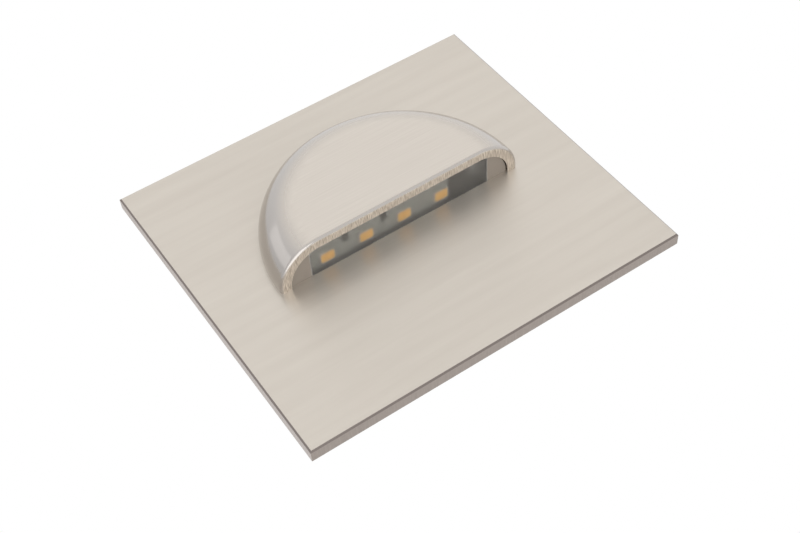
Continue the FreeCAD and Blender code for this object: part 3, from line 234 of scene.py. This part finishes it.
steel = add(tree, "ShaderNodeBsdfPrincipled", {"Metallic": 1.0},
            {"Base Color": colour.outputs["Result"], "Roughness": rough.outputs["Result"],
             "Normal": bump.outputs[0]})
show(tree, steel)
dress(cup_steel, "hood")
dress(plain_steel, "hood_screws")

# ---------------------------------------------------------------------------------------------------
# Lens. Polycarbonate, injection moulded and then turned to the hood, with an etched face: the LEDs
# close behind it show, but soft. Its other faces are as smooth as the mould.

etched_lens, tree = new_material("polycarbonate, moulded, face etched")
place = add(tree, "ShaderNodeTexCoord")
facing = add(tree, "ShaderNodeSeparateXYZ", {}, {"Vector": place.outputs["Normal"]})
etch = add(tree, "ShaderNodeMapRange", {"From Min": -0.95, "From Max": -0.99, "To Min": 0.05, "To Max": 0.28},
           {"Value": facing.outputs["Z"]})
grain = add(tree, "ShaderNodeTexNoise", {"Scale": 1 / (0.12 * MM), "Detail": 1.0},
            {"Vector": place.outputs["Object"]})
bump = add(tree, "ShaderNodeBump", {"Strength": 0.05, "Distance": 0.02 * MM},
           {"Height": grain.outputs["Fac"]})
# The solid ends beside the LED pocket are tinted beige-grey and made nearly opaque: a painted reflection of the
# hood's steel behind them. In front of the LEDs the pane is nearly clear.
CLEAR_TO, PAINTED_END_FROM = 22.1 * MM, 22.5 * MM
spot = add(tree, "ShaderNodeSeparateXYZ", {}, {"Vector": place.outputs["Object"]})
off_middle = add(tree, "ShaderNodeMath", {"operation": "ABSOLUTE"}, {0: spot.outputs["X"]})
painted_end_reflection = add(tree, "ShaderNodeMapRange", {"From Min": CLEAR_TO, "From Max": PAINTED_END_FROM},
           {"Value": off_middle.outputs[0]})
tint = add(tree, "ShaderNodeMix", {"data_type": "RGBA", "A": linear("#fafaf8"), "B": linear("#9d9389")},
           {"Factor": painted_end_reflection.outputs[0]})
clear = add(tree, "ShaderNodeMapRange", {"To Min": 0.97, "To Max": 0.10}, {"Value": painted_end_reflection.outputs[0]})
body = add(tree, "ShaderNodeBsdfPrincipled", {"IOR": 1.585},
           {"Base Color": tint.outputs["Result"], "Roughness": etch.outputs[0], "Normal": bump.outputs[0],
            "Transmission Weight": clear.outputs[0]})
show(tree, body)
dress(etched_lens, "lens")

# ---------------------------------------------------------------------------------------------------
# Carrier seal and LED carrier. A flat gasket of milky silicone, and an aluminium angle cut from an
# extrusion, with its draw lines still on it.

milky_silicone = two_tone("silicone sheet, die cut", "#c9c8c2", "#dcdbd6", (2, 2, 2), 0.50, 0.01,
                          {"IOR": 1.41, "Subsurface Weight": 0.2, "Subsurface Scale": 1 * MM})
dress(milky_silicone, "carrier_seal", "housing_seal", "cover_seal")

extruded = two_tone("aluminium, extruded and milled", "#a9acaf", "#c6c9cb", (20, 0.4, 0.4), 0.32, 0.004,
                    {"Metallic": 1.0})
dress(extruded, "led_carrier")

# ---------------------------------------------------------------------------------------------------
# LED board. A narrow aluminium-core board with grey-blue solder mask on its face, two chip resistors,
# and a bead of dark sealant over the joints of its leads.

board_mask = two_tone("solder mask, grey blue", "#b1b3ae", "#c6c7c1", (3, 3, 3), 0.34, 0.006, {"IOR": 1.5})
dress(board_mask, "led_board")

chip_black = two_tone("epoxy moulding compound, black", "#1c1b1b", "#2c2b2a", (0.3, 0.3, 0.3), 0.55, 0.004,
                      {"IOR": 1.55})
dress(chip_black, "led_resistors", "driver_resistors", "driver_chip")

dark_sealant = two_tone("silicone sealant, dark grey, cast", "#141210", "#211e1b",
                        (1.5, 1.5, 1.5), 0.42, 0.02,
                        {"IOR": 1.41})
dress(dark_sealant, "lead_plug")

lead_cover = two_tone("silicone lead insulation, extruded", "#8c2a20", "#a5382c", (0.8, 12, 0.8), 0.45, 0.004,
                      {"IOR": 1.41})
dress(lead_cover, "led_leads")

# ---------------------------------------------------------------------------------------------------
# LEDs. Four white moulded packages in a row, each a shallow reflector cup filled with amber silicone
# and phosphor. They are soldered to the board with their cups towards the lens.

LED_COUNT = 4
LED_WIDTH, LED_DEPTH, LED_CORNER = 3.5 * MM, 2.8 * MM, 0.12 * MM
CUP_WIDTH, CUP_DEPTH, CUP_CORNER = 3.2 * MM, 2.5 * MM, 0.45 * MM
CUP_TAPER, CUP_FLOOR = 0.12 * MM, 0.25 * MM
LED_BEVEL = 0.05 * MM
GEL_DIP = 0.04 * MM                   # the gel's meniscus sinks this far towards its middle


def link(name, mesh):
    """A plain object for a mesh, at the origin, smooth but for its corners."""
    mesh.shade_smooth()
    mesh.set_sharp_from_angle(angle=math.radians(32))
    piece = bpy.data.objects.new(name, mesh)
    bpy.context.scene.collection.objects.link(piece)
    return piece


def rounded_rectangle(width, depth, corner, steps=5):
    """Points round a rectangle with round corners."""
    points = []
    for quarter, (u, v) in enumerate(((1, 1), (-1, 1), (-1, -1), (1, -1))):
        for step in range(steps + 1):
            angle = math.pi / 2 * (quarter + step / steps)
            points.append((u * (width / 2 - corner) + corner * math.cos(angle),
                           v * (depth / 2 - corner) + corner * math.sin(angle)))
    return points


def stacked(name, rings, turn):
    """A closed solid through rings of equal count, each (height, points), turned by a matrix."""
    form = bmesh.new()
    rows = [[form.verts.new(turn @ Vector((u, v, height))) for u, v in points] for height, points in rings]
    for low, high in zip(rows, rows[1:]):
        for i in range(len(low)):
            j = (i + 1) % len(low)
            form.faces.new((low[i], low[j], high[j], high[i]))
    form.faces.new(list(reversed(rows[0])))
    form.faces.new(rows[-1])
    bmesh.ops.recalc_face_normals(form, faces=form.faces)
    mesh = bpy.data.meshes.new(name)
    form.to_mesh(mesh)
    form.free()
    return link(name, mesh)


def new_recipe(name, sizes):
    """A geometry node tree with an input for the piece and one for each named size."""
    tree = bpy.data.node_groups.new(name, "GeometryNodeTree")
    tree.interface.new_socket("Piece", in_out="INPUT", socket_type="NodeSocketGeometry")
    for label, kind in sizes.items():
        tree.interface.new_socket(label, in_out="INPUT", socket_type=f"NodeSocket{kind}")
    tree.interface.new_socket("Result", in_out="OUTPUT", socket_type="NodeSocketGeometry")
    return tree, add(tree, "NodeGroupInput")


def close_recipe(tree, result, material):
    """Makes the instances real, gives them their finish and ends the tree."""
    real = add(tree, "GeometryNodeRealizeInstances", {}, {"Geometry": result})
    finished = add(tree, "GeometryNodeSetMaterial", {"Material": material}, {"Geometry": real.outputs[0]})
    add(tree, "NodeGroupOutput", {}, {0: finished.outputs[0]})


def grow(name, piece, recipe, sizes):
    """Runs a tree on a piece and keeps the result as a plain mesh; the piece itself goes."""
    modifier = piece.modifiers.new(recipe.name, "NODES")
    modifier.node_group = recipe
    for item in recipe.interface.items_tree:
        if item.in_out == "INPUT" and item.name in sizes:
            modifier[item.identifier] = sizes[item.name]
    bpy.context.view_layer.update()
    made = bpy.data.meshes.new_from_object(piece.evaluated_get(bpy.context.evaluated_depsgraph_get()))
    bpy.data.objects.remove(piece)
    return link(name, made)


def led_recipe(name, material):
    """One piece repeated along X."""
    tree, given = new_recipe(name, {"Count": "Int", "First": "Vector", "Pitch": "Float"})
    step = add(tree, "ShaderNodeCombineXYZ", {}, {"X": given.outputs["Pitch"]})
    spots = add(tree, "GeometryNodeMeshLine", {"mode": "OFFSET"},
                {"Count": given.outputs["Count"], "Start Location": given.outputs["First"],
                 "Offset": step.outputs[0]})
    row = add(tree, "GeometryNodeInstanceOnPoints", {},
              {"Points": spots.outputs[0], "Instance": given.outputs["Piece"]})
    close_recipe(tree, row.outputs[0], material)
    return tree


white_package = two_tone("polyamide reflector, white, moulded", "#edeae3", "#f8f6f1",
                         (0.8, 0.8, 0.8), 0.45, 0.003,
                         {"IOR": 1.53})
# The gel glows faintly by itself: painted light, standing for the phosphor that turns some of the daylight's
# blue into amber.
amber_gel = two_tone("silicone with amber phosphor, cast", "#fab54a", "#ffcf6c",
                     (0.25, 0.25, 0.25), 0.28, 0.003,
                     {"IOR": 1.41, "Emission Color": linear("#ffbe55"), "Emission Strength": 0.22})

lowest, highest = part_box("led_packages")
led_pitch = (highest.x - lowest.x - LED_WIDTH) / (LED_COUNT - 1)
led_row = {"Count": LED_COUNT, "Pitch": led_pitch,
           "First": (lowest.x + LED_WIDTH / 2, (lowest.y + highest.y) / 2, lowest.z)}
led_height = highest.z - lowest.z
cup_floor = rounded_rectangle(CUP_WIDTH - 2 * CUP_TAPER, CUP_DEPTH - 2 * CUP_TAPER, CUP_CORNER - CUP_TAPER)
package = stacked("package", [
    (led_height, rounded_rectangle(LED_WIDTH, LED_DEPTH, LED_CORNER)),
    (LED_BEVEL, rounded_rectangle(LED_WIDTH, LED_DEPTH, LED_CORNER)),
    (0, rounded_rectangle(LED_WIDTH - 2 * LED_BEVEL, LED_DEPTH - 2 * LED_BEVEL, LED_CORNER)),
    (0, rounded_rectangle(CUP_WIDTH, CUP_DEPTH, CUP_CORNER)),
    (CUP_FLOOR, cup_floor),
], Matrix.Identity(4))
packages = grow("led_reflectors", package, led_recipe("row of packages", white_package), led_row)
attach(packages, "body")
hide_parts("led_packages")

fill = stacked("fill", [
    (CUP_FLOOR, cup_floor),
    (0, rounded_rectangle(CUP_WIDTH, CUP_DEPTH, CUP_CORNER)),
    (GEL_DIP, rounded_rectangle(CUP_WIDTH * 0.7, CUP_DEPTH * 0.7, CUP_CORNER * 0.7)),
    (GEL_DIP * 1.3, rounded_rectangle(CUP_WIDTH * 0.3, CUP_DEPTH * 0.3, CUP_CORNER * 0.3)),
], Matrix.Identity(4))
gels = grow("led_gels", fill, led_recipe("row of gels", amber_gel), led_row)
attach(gels, "body")
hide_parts("led_windows")

# ---------------------------------------------------------------------------------------------------
# Nuts, washers and standoffs. Stainless nuts and washers hold the housing on its studs; the two
# standoffs are nickel-plated brass, turned from hexagon bar.

dress(plain_steel, "housing_washers", "housing_nuts", "board_screws", "terminal_screws")
nickel_brass = two_tone("brass hexagon bar, nickel plated", "#aaa48f", "#c6c0ab", (0.5, 8, 0.5), 0.24, 0.003,
                        {"Metallic": 1.0})
dress(nickel_brass, "standoffs")

# ---------------------------------------------------------------------------------------------------
# Driver board. Glass-epoxy laminate under green solder mask, whose weave shows faintly through it,
# with an inductor, a capacitor, a driver chip, resistors and a screw terminal.

green_mask, tree = new_material("glass epoxy board, green solder mask")
place = add(tree, "ShaderNodeTexCoord")
warp = add(tree, "ShaderNodeTexWave", {"bands_direction": "X", "Scale": 0.3 / MM, "Distortion": 0.6},
           {"Vector": place.outputs["Object"]})
weft = add(tree, "ShaderNodeTexWave", {"bands_direction": "Z", "Scale": 0.3 / MM, "Distortion": 0.6},
           {"Vector": place.outputs["Object"]})
weave = add(tree, "ShaderNodeMath", {"operation": "MULTIPLY"},
            {0: warp.outputs["Fac"], 1: weft.outputs["Fac"]})
tint = add(tree, "ShaderNodeMix", {"data_type": "RGBA", "A": linear("#0f4a2a"), "B": linear("#1a6038")},
           {"Factor": weave.outputs[0]})
mask = add(tree, "ShaderNodeBsdfPrincipled", {"Roughness": 0.3, "IOR": 1.5},
           {"Base Color": tint.outputs["Result"]})
show(tree, mask)
dress(green_mask, "driver_board")

ferrite = two_tone("ferrite, pressed and sintered", "#26262a", "#3a3a3e", (0.4, 0.4, 0.4), 0.48, 0.006,
                   {"IOR": 1.8})
dress(ferrite, "coil_core")

# The winding's turns lie 0.3 mm apart along the drum.
enamelled_wire, tree = new_material("copper wire, enamelled and wound")
place = add(tree, "ShaderNodeTexCoord")
turns_and_groove_shade = add(tree, "ShaderNodeTexWave", {"bands_direction": "Y", "Scale": 0.5 / MM, "Distortion": 0.2},
            {"Vector": place.outputs["Object"]})
# The grooves between the turns are tinted darker: painted shade.
tint = add(tree, "ShaderNodeMix", {"data_type": "RGBA", "A": linear("#7a3a1c"), "B": linear("#cc7a45")},
           {"Factor": turns_and_groove_shade.outputs["Fac"]})
bump = add(tree, "ShaderNodeBump", {"Strength": 1.0, "Distance": 0.1 * MM}, {"Height": turns_and_groove_shade.outputs["Fac"]})
wire = add(tree, "ShaderNodeBsdfPrincipled", {"Metallic": 1.0, "Roughness": 0.25, "Coat Weight": 0.6},
           {"Base Color": tint.outputs["Result"], "Normal": bump.outputs[0]})
show(tree, wire)
dress(enamelled_wire, "coil_winding")

drawn_can = two_tone("aluminium can, deep drawn", "#9a9da0", "#b4b7ba", (0.5, 6, 0.5), 0.22, 0.002,
                     {"Metallic": 1.0})
dress(drawn_can, "capacitor")

terminal_plastic = two_tone("polyamide terminal, green, moulded", "#1f6b45", "#2a7c52", (0.5, 0.5, 0.5), 0.42,
                            0.006, {"IOR": 1.53})
dress(terminal_plastic, "terminal_block")

# ---------------------------------------------------------------------------------------------------
# Housing and rear cover. Die-cast aluminium under a graphite powder coat with a fine, even texture
# that rounds its corners a little and breaks up its shine.

powder_coat, tree = new_material("die-cast aluminium, fine-texture powder coat")
place = add(tree, "ShaderNodeTexCoord")
peel = add(tree, "ShaderNodeTexVoronoi", {"feature": "SMOOTH_F1", "Scale": 1 / (0.45 * MM)},
           {"Vector": place.outputs["Object"]})
drift = add(tree, "ShaderNodeTexNoise", {"Scale": 1 / (9 * MM), "Detail": 2.0},
            {"Vector": place.outputs["Object"]})
tint = add(tree, "ShaderNodeMix", {"data_type": "RGBA", "A": linear("#37393b"), "B": linear("#444648")},
           {"Factor": drift.outputs["Fac"]})
rough = add(tree, "ShaderNodeMapRange", {"To Min": 0.42, "To Max": 0.58}, {"Value": peel.outputs["Distance"]})
bump = add(tree, "ShaderNodeBump", {"Strength": 0.5, "Distance": 0.06 * MM},
           {"Height": peel.outputs["Distance"]})
coat = add(tree, "ShaderNodeBsdfPrincipled", {"IOR": 1.5},
           {"Base Color": tint.outputs["Result"], "Roughness": rough.outputs[0], "Normal": bump.outputs[0]})
show(tree, coat)
dress(powder_coat, "housing", "rear_cover")

# ---------------------------------------------------------------------------------------------------
# Cover screws. Four stainless pan-head screws with hexagon sockets hold the cover on its bosses; the
# sockets have a punched floor and the heads a forged, softly domed crown.

HEAD_RADIUS, HEAD_HEIGHT, SHANK_RADIUS, KEY_FLATS, KEY_DEPTH = (size * MM for size in (2.7, 1.7, 1.5, 2.0, 1.1))
TIP_BEVEL, HEAD_EDGE, CROWN_DROP, KEY_LEAD, KEY_CONE = (size * MM for size in (0.3, 0.1, 0.9, 0.2, 0.25))
COVER_SCREWS = 4
STEPS = 48                            # points round a circle


def circle(radius):
    return [(radius * math.cos(2 * math.pi * i / STEPS), radius * math.sin(2 * math.pi * i / STEPS))
            for i in range(STEPS)]


def hexagon(flats):
    """As many points as a circle has, on a hexagon."""
    points = []
    for i in range(STEPS):
        angle = 2 * math.pi * i / STEPS
        off = (angle + math.pi / 6) % (math.pi / 3) - math.pi / 6
        radius = flats / 2 / math.cos(off)
        points.append((radius * math.cos(angle), radius * math.sin(angle)))
    return points


lowest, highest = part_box("cover_screws")
shank_length = highest.y - lowest.y - HEAD_HEIGHT
# The profile runs from the shank's tip over the head and down into the socket.
crown = [(HEAD_HEIGHT * math.sin(a), HEAD_RADIUS - CROWN_DROP * (1 - math.cos(a)))
         for a in (math.radians(15 * i) for i in range(7))]
screw = stacked("screw", [
    (-shank_length, circle(SHANK_RADIUS - TIP_BEVEL)),
    (-shank_length + TIP_BEVEL, circle(SHANK_RADIUS)),
    (0, circle(SHANK_RADIUS)),
    (0, circle(HEAD_RADIUS - HEAD_EDGE)),
    (HEAD_EDGE, circle(HEAD_RADIUS)),
    *[(max(height, HEAD_EDGE), circle(radius)) for height, radius in crown[1:]],
    (HEAD_HEIGHT, hexagon(KEY_FLATS + KEY_LEAD)),
    (HEAD_HEIGHT - KEY_LEAD / 2, hexagon(KEY_FLATS)),
    (HEAD_HEIGHT - KEY_DEPTH, hexagon(KEY_FLATS)),
    (HEAD_HEIGHT - KEY_DEPTH - KEY_CONE, circle(0.1 * MM)),
], Matrix.Rotation(math.radians(-90), 4, "X"))

tree, given = new_recipe("screws round the cover",
                         {"Count": "Int", "Across": "Float", "Up": "Float", "Seat": "Float"})
ring = add(tree, "GeometryNodeMeshCircle", {"Radius": 1.0}, {"Vertices": given.outputs["Count"]})
oval = add(tree, "ShaderNodeCombineXYZ", {"Z": 1.0}, {"X": given.outputs["Across"], "Y": given.outputs["Up"]})
depth = add(tree, "ShaderNodeCombineXYZ", {}, {"Y": given.outputs["Seat"]})
spots = add(tree, "GeometryNodeTransform", {"Rotation": (math.radians(90), 0, 0)},
            {"Geometry": ring.outputs[0], "Scale": oval.outputs[0], "Translation": depth.outputs[0]})
screws = add(tree, "GeometryNodeInstanceOnPoints", {},
             {"Points": spots.outputs[0], "Instance": given.outputs["Piece"]})
close_recipe(tree, screws.outputs[0], plain_steel)
pan_heads = grow("cover_pan_heads", screw, tree, {
    "Count": COVER_SCREWS, "Across": highest.x - HEAD_RADIUS, "Up": highest.z - HEAD_RADIUS,
    "Seat": highest.y - HEAD_HEIGHT})
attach(pan_heads, "body")
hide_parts("cover_screws")

# ---------------------------------------------------------------------------------------------------
# Cable gland. Black glass-filled nylon, moulded, with a matte skin; the seal in it and the ring under
# its collar are black rubber.

black_nylon = two_tone("nylon, glass filled, moulded black", "#1b1b1c", "#262627",
                       (0.25, 0.25, 0.25), 0.46, 0.01,
                       {"IOR": 1.53})
dress(black_nylon, "gland_body", "gland_locknut", "gland_nut")
black_rubber = two_tone("nitrile rubber, moulded", "#151516", "#1f1f20", (0.6, 0.6, 0.6), 0.58, 0.008,
                        {"IOR": 1.52})
dress(black_rubber, "gland_seal", "gland_ring")

# ---------------------------------------------------------------------------------------------------
# Clip arms and pins. Arms stamped and rolled from 0.8 mm hard stainless strip, with the mill's lines
# along it; the pins are plain and headed.

hard_strip = two_tone("stainless spring strip, stamped", "#a09b95", "#bdb8b2", (0.35, 0.35, 14), 0.26, 0.003,
                      {"Metallic": 1.0})
dress(hard_strip, "clip_arm_left", "clip_arm_right")
dress(plain_steel, "clip_pin_left", "clip_pin_right")

# ---------------------------------------------------------------------------------------------------
# Clip springs. Torsion springs wound from 0.8 mm hard-drawn stainless wire, five turns and two
# straight legs: one leg lies on the housing, the other turns with its arm.

WIRE_RADIUS, COIL_RADIUS, COIL_PITCH, LEG = 0.4 * MM, 2.1 * MM, 1.4 * MM, 6.5 * MM
COIL_TURNS, REST_ANGLE, WIRE_POINTS, WIRE_SIDES = 5, math.radians(28), 300, 12
CLIP_AXIS = {"left": (-29.0 * MM, 10.8 * MM, 0), "right": (29.0 * MM, 10.8 * MM, 0)}

leave = math.pi                       # from the housing's side of the coil
arrive = -math.pi / 2 - REST_ANGLE    # to a leg under the arm
coil_sweep = 2 * math.pi * COIL_TURNS + (arrive - leave) % (2 * math.pi)
climb = COIL_PITCH / (2 * math.pi)
run = math.hypot(COIL_RADIUS, climb)  # wire for one radian

drawn_wire = two_tone("stainless spring wire, hard drawn", "#8b8680", "#aaa59f",
                      (0.25, 0.25, 0.25), 0.24, 0.003,
                      {"Metallic": 1.0})

tree, given = new_recipe("torsion spring", {
    "Coil radius": "Float", "Wire radius": "Float", "Climb per radian": "Float", "Wire per radian": "Float",
    "Sweep": "Float", "Leave": "Float", "Leg": "Float", "Axis": "Vector", "Turn over": "Float"})
sweep_wire = add(tree, "ShaderNodeMath", {"operation": "MULTIPLY"},
                 {0: given.outputs["Sweep"], 1: given.outputs["Wire per radian"]})
all_wire = add(tree, "ShaderNodeMath", {"operation": "MULTIPLY_ADD", 1: 2.0},
               {0: given.outputs["Leg"], 2: sweep_wire.outputs[0]})
share = add(tree, "GeometryNodeSplineParameter")
reached = add(tree, "ShaderNodeMath", {"operation": "MULTIPLY"},
              {0: share.outputs["Factor"], 1: all_wire.outputs[0]})
past_leg = add(tree, "ShaderNodeMath", {"operation": "SUBTRACT"},
               {0: reached.outputs[0], 1: given.outputs["Leg"]})
wound = add(tree, "ShaderNodeMath", {"operation": "DIVIDE"},
            {0: past_leg.outputs[0], 1: given.outputs["Wire per radian"]})
angle = add(tree, "ShaderNodeClamp", {"Min": 0.0}, {"Value": wound.outputs[0], "Max": given.outputs["Sweep"]})
# What lies before or after the coil runs on straight, along the coil's own direction there.
coiled = add(tree, "ShaderNodeMath", {"operation": "MULTIPLY"},
             {0: angle.outputs[0], 1: given.outputs["Wire per radian"]})
straight = add(tree, "ShaderNodeMath", {"operation": "SUBTRACT"},
               {0: past_leg.outputs[0], 1: coiled.outputs[0]})
heading = add(tree, "ShaderNodeMath", {"operation": "ADD"}, {0: given.outputs["Leave"], 1: angle.outputs[0]})
cosine = add(tree, "ShaderNodeMath", {"operation": "COSINE"}, {0: heading.outputs[0]})
sine = add(tree, "ShaderNodeMath", {"operation": "SINE"}, {0: heading.outputs[0]})
back_sine = add(tree, "ShaderNodeMath", {"operation": "MULTIPLY", 1: -1.0}, {0: sine.outputs[0]})
radial = add(tree, "ShaderNodeCombineXYZ", {}, {"X": cosine.outputs[0], "Y": sine.outputs[0]})
sideways = add(tree, "ShaderNodeCombineXYZ", {}, {"X": back_sine.outputs[0], "Y": cosine.outputs[0]})
on_coil = add(tree, "ShaderNodeVectorMath", {"operation": "SCALE"},
              {0: radial.outputs[0], "Scale": given.outputs["Coil radius"]})
along_leg = add(tree, "ShaderNodeVectorMath", {"operation": "SCALE"},
                {0: sideways.outputs[0], "Scale": straight.outputs[0]})
half_sweep = add(tree, "ShaderNodeMath", {"operation": "MULTIPLY", 1: -0.5}, {0: given.outputs["Sweep"]})
centred = add(tree, "ShaderNodeMath", {"operation": "ADD"}, {0: angle.outputs[0], 1: half_sweep.outputs[0]})
rise = add(tree, "ShaderNodeMath", {"operation": "MULTIPLY"},
           {0: centred.outputs[0], 1: given.outputs["Climb per radian"]})
lift = add(tree, "ShaderNodeCombineXYZ", {}, {"Z": rise.outputs[0]})
flat_place = add(tree, "ShaderNodeVectorMath", {"operation": "ADD"},
                 {0: on_coil.outputs[0], 1: along_leg.outputs[0]})
wire_place = add(tree, "ShaderNodeVectorMath", {"operation": "ADD"},
                 {0: flat_place.outputs[0], 1: lift.outputs[0]})
start = add(tree, "GeometryNodeCurvePrimitiveLine", {"End": (1, 0, 0)})
fine_line = add(tree, "GeometryNodeResampleCurve", {"Count": WIRE_POINTS}, {"Curve": start.outputs[0]})
path = add(tree, "GeometryNodeSetPosition", {},
           {"Geometry": fine_line.outputs[0], "Position": wire_place.outputs[0]})
section = add(tree, "GeometryNodeCurvePrimitiveCircle", {"Resolution": WIRE_SIDES},
              {"Radius": given.outputs["Wire radius"]})
tube = add(tree, "GeometryNodeCurveToMesh", {"Fill Caps": True},
           {"Curve": path.outputs[0], "Profile Curve": section.outputs[0]})
over = add(tree, "ShaderNodeCombineXYZ", {}, {"Y": given.outputs["Turn over"]})
spring = add(tree, "GeometryNodeTransform", {},
             {"Geometry": tube.outputs[0], "Translation": given.outputs["Axis"], "Rotation": over.outputs[0]})
close_recipe(tree, spring.outputs[0], drawn_wire)

for side, axis in CLIP_AXIS.items():
    seed = link("seed", bpy.data.meshes.new("seed"))
    coil = grow(f"torsion_spring_{side}", seed, tree, {
        "Coil radius": COIL_RADIUS, "Wire radius": WIRE_RADIUS, "Climb per radian": climb,
        "Wire per radian": run, "Sweep": coil_sweep, "Leave": leave, "Leg": LEG, "Axis": axis,
        "Turn over": math.pi if side == "left" else 0.0})
    # The coil twists from the housing's leg to the arm's leg.
    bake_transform(coil)
    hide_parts(f"clip_spring_{side}")

# ---------------------------------------------------------------------------------------------------
# Stage: a pale floor well below the light, a white surround and soft studio light from the front, the
# left, below and behind.

FLOOR_SIZE, FLOOR_HEIGHT = 4.0, -0.60
bpy.ops.mesh.primitive_plane_add(size=FLOOR_SIZE, location=(0, 0, FLOOR_HEIGHT))
floor = bpy.context.object
floor.name = "floor"
pale, tree = new_material("pale studio paper")
paper = add(tree, "ShaderNodeBsdfPrincipled", {"Base Color": linear("#efeeec"), "Roughness": 0.9})
show(tree, paper)
floor.data.materials.append(pale)

world = bpy.data.worlds.new("studio")
bpy.context.scene.world = world
world.use_nodes = True
tree = world.node_tree
tree.nodes.clear()
way = add(tree, "ShaderNodeTexCoord")
# Metal sees the tent fall away softly to the left and back; the camera sees it plain white.
lean = add(tree, "ShaderNodeVectorMath", {"operation": "DOT_PRODUCT", 1: (0.75, -0.60, 0.15)},
           {0: way.outputs["Generated"]})
tent = add(tree, "ShaderNodeMapRange",
           {"interpolation_type": "SMOOTHSTEP", "From Min": -0.60, "From Max": 0.55,
                                        "To Min": 0.70, "To Max": 0.97}, {"Value": lean.outputs["Value"]})
ray = add(tree, "ShaderNodeLightPath")
in_metal = add(tree, "ShaderNodeMath", {"operation": "MAXIMUM"},
               {0: ray.outputs["Is Glossy Ray"], 1: ray.outputs["Is Transmission Ray"]})
seen = add(tree, "ShaderNodeMath", {"operation": "MAXIMUM"},
           {0: ray.outputs["Is Camera Ray"], 1: in_metal.outputs[0]})
backdrop = add(tree, "ShaderNodeMix", {"data_type": "FLOAT", "B": 1.0},
               {"Factor": ray.outputs["Is Camera Ray"], "A": tent.outputs[0]})
around = add(tree, "ShaderNodeBackground", {"Color": (1, 1, 1, 1), "Strength": 1.0})
white = add(tree, "ShaderNodeBackground", {"Color": (1, 1, 1, 1)}, {"Strength": backdrop.outputs["Result"]})
mixed = add(tree, "ShaderNodeMixShader", {}, {0: seen.outputs[0], 1: around.outputs[0], 2: white.outputs[0]})
add(tree, "ShaderNodeOutputWorld", {}, {"Surface": mixed.outputs[0]})


def softbox(name, spot, width, height, power):
    """A studio lamp that faces the light's middle."""
    lamp = bpy.data.lights.new(name, "AREA")
    lamp.shape = "RECTANGLE"
    lamp.size, lamp.size_y = width, height
    lamp.energy = power
    box = bpy.data.objects.new(name, lamp)
    box.location = spot
    box.rotation_euler = (-Vector(spot)).to_track_quat("-Z", "Y").to_euler()
    bpy.context.scene.collection.objects.link(box)


softbox("softbox_front", (0.35, -0.90, 0.75), 1.0, 1.0, 0.35)
softbox("fill_low", (-0.22, -0.12, -0.45), 0.55, 0.44, 0.60)
softbox("back_left", (-0.35, 0.80, 0.60), 0.60, 0.60, 0.7)
softbox("strip_left", (-0.95, -0.30, 0.60), 0.50, 1.3, 0.50)

# The camera looks up at the light from the left and below, as the photograph does.
camera_data = bpy.data.cameras.new("camera")
camera_data.sensor_width = 36.0
camera_data.lens = 60.184
camera_data.clip_start = 0.01
camera = bpy.data.objects.new("camera", camera_data)
right = Vector((0.82683963, 0.05338285, -0.55989865))
up = Vector((0.4595217, -0.63812728, 0.61776483))
back = right.cross(up)
turn = Matrix((right, up, back)).transposed().to_4x4()
eye = Vector((-0.09587, -0.21639, -0.16499))
camera.matrix_world = Matrix.Translation(eye) @ turn
bpy.context.scene.collection.objects.link(camera)
bpy.context.scene.camera = camera
bpy.context.scene.view_settings.view_transform = "Standard"
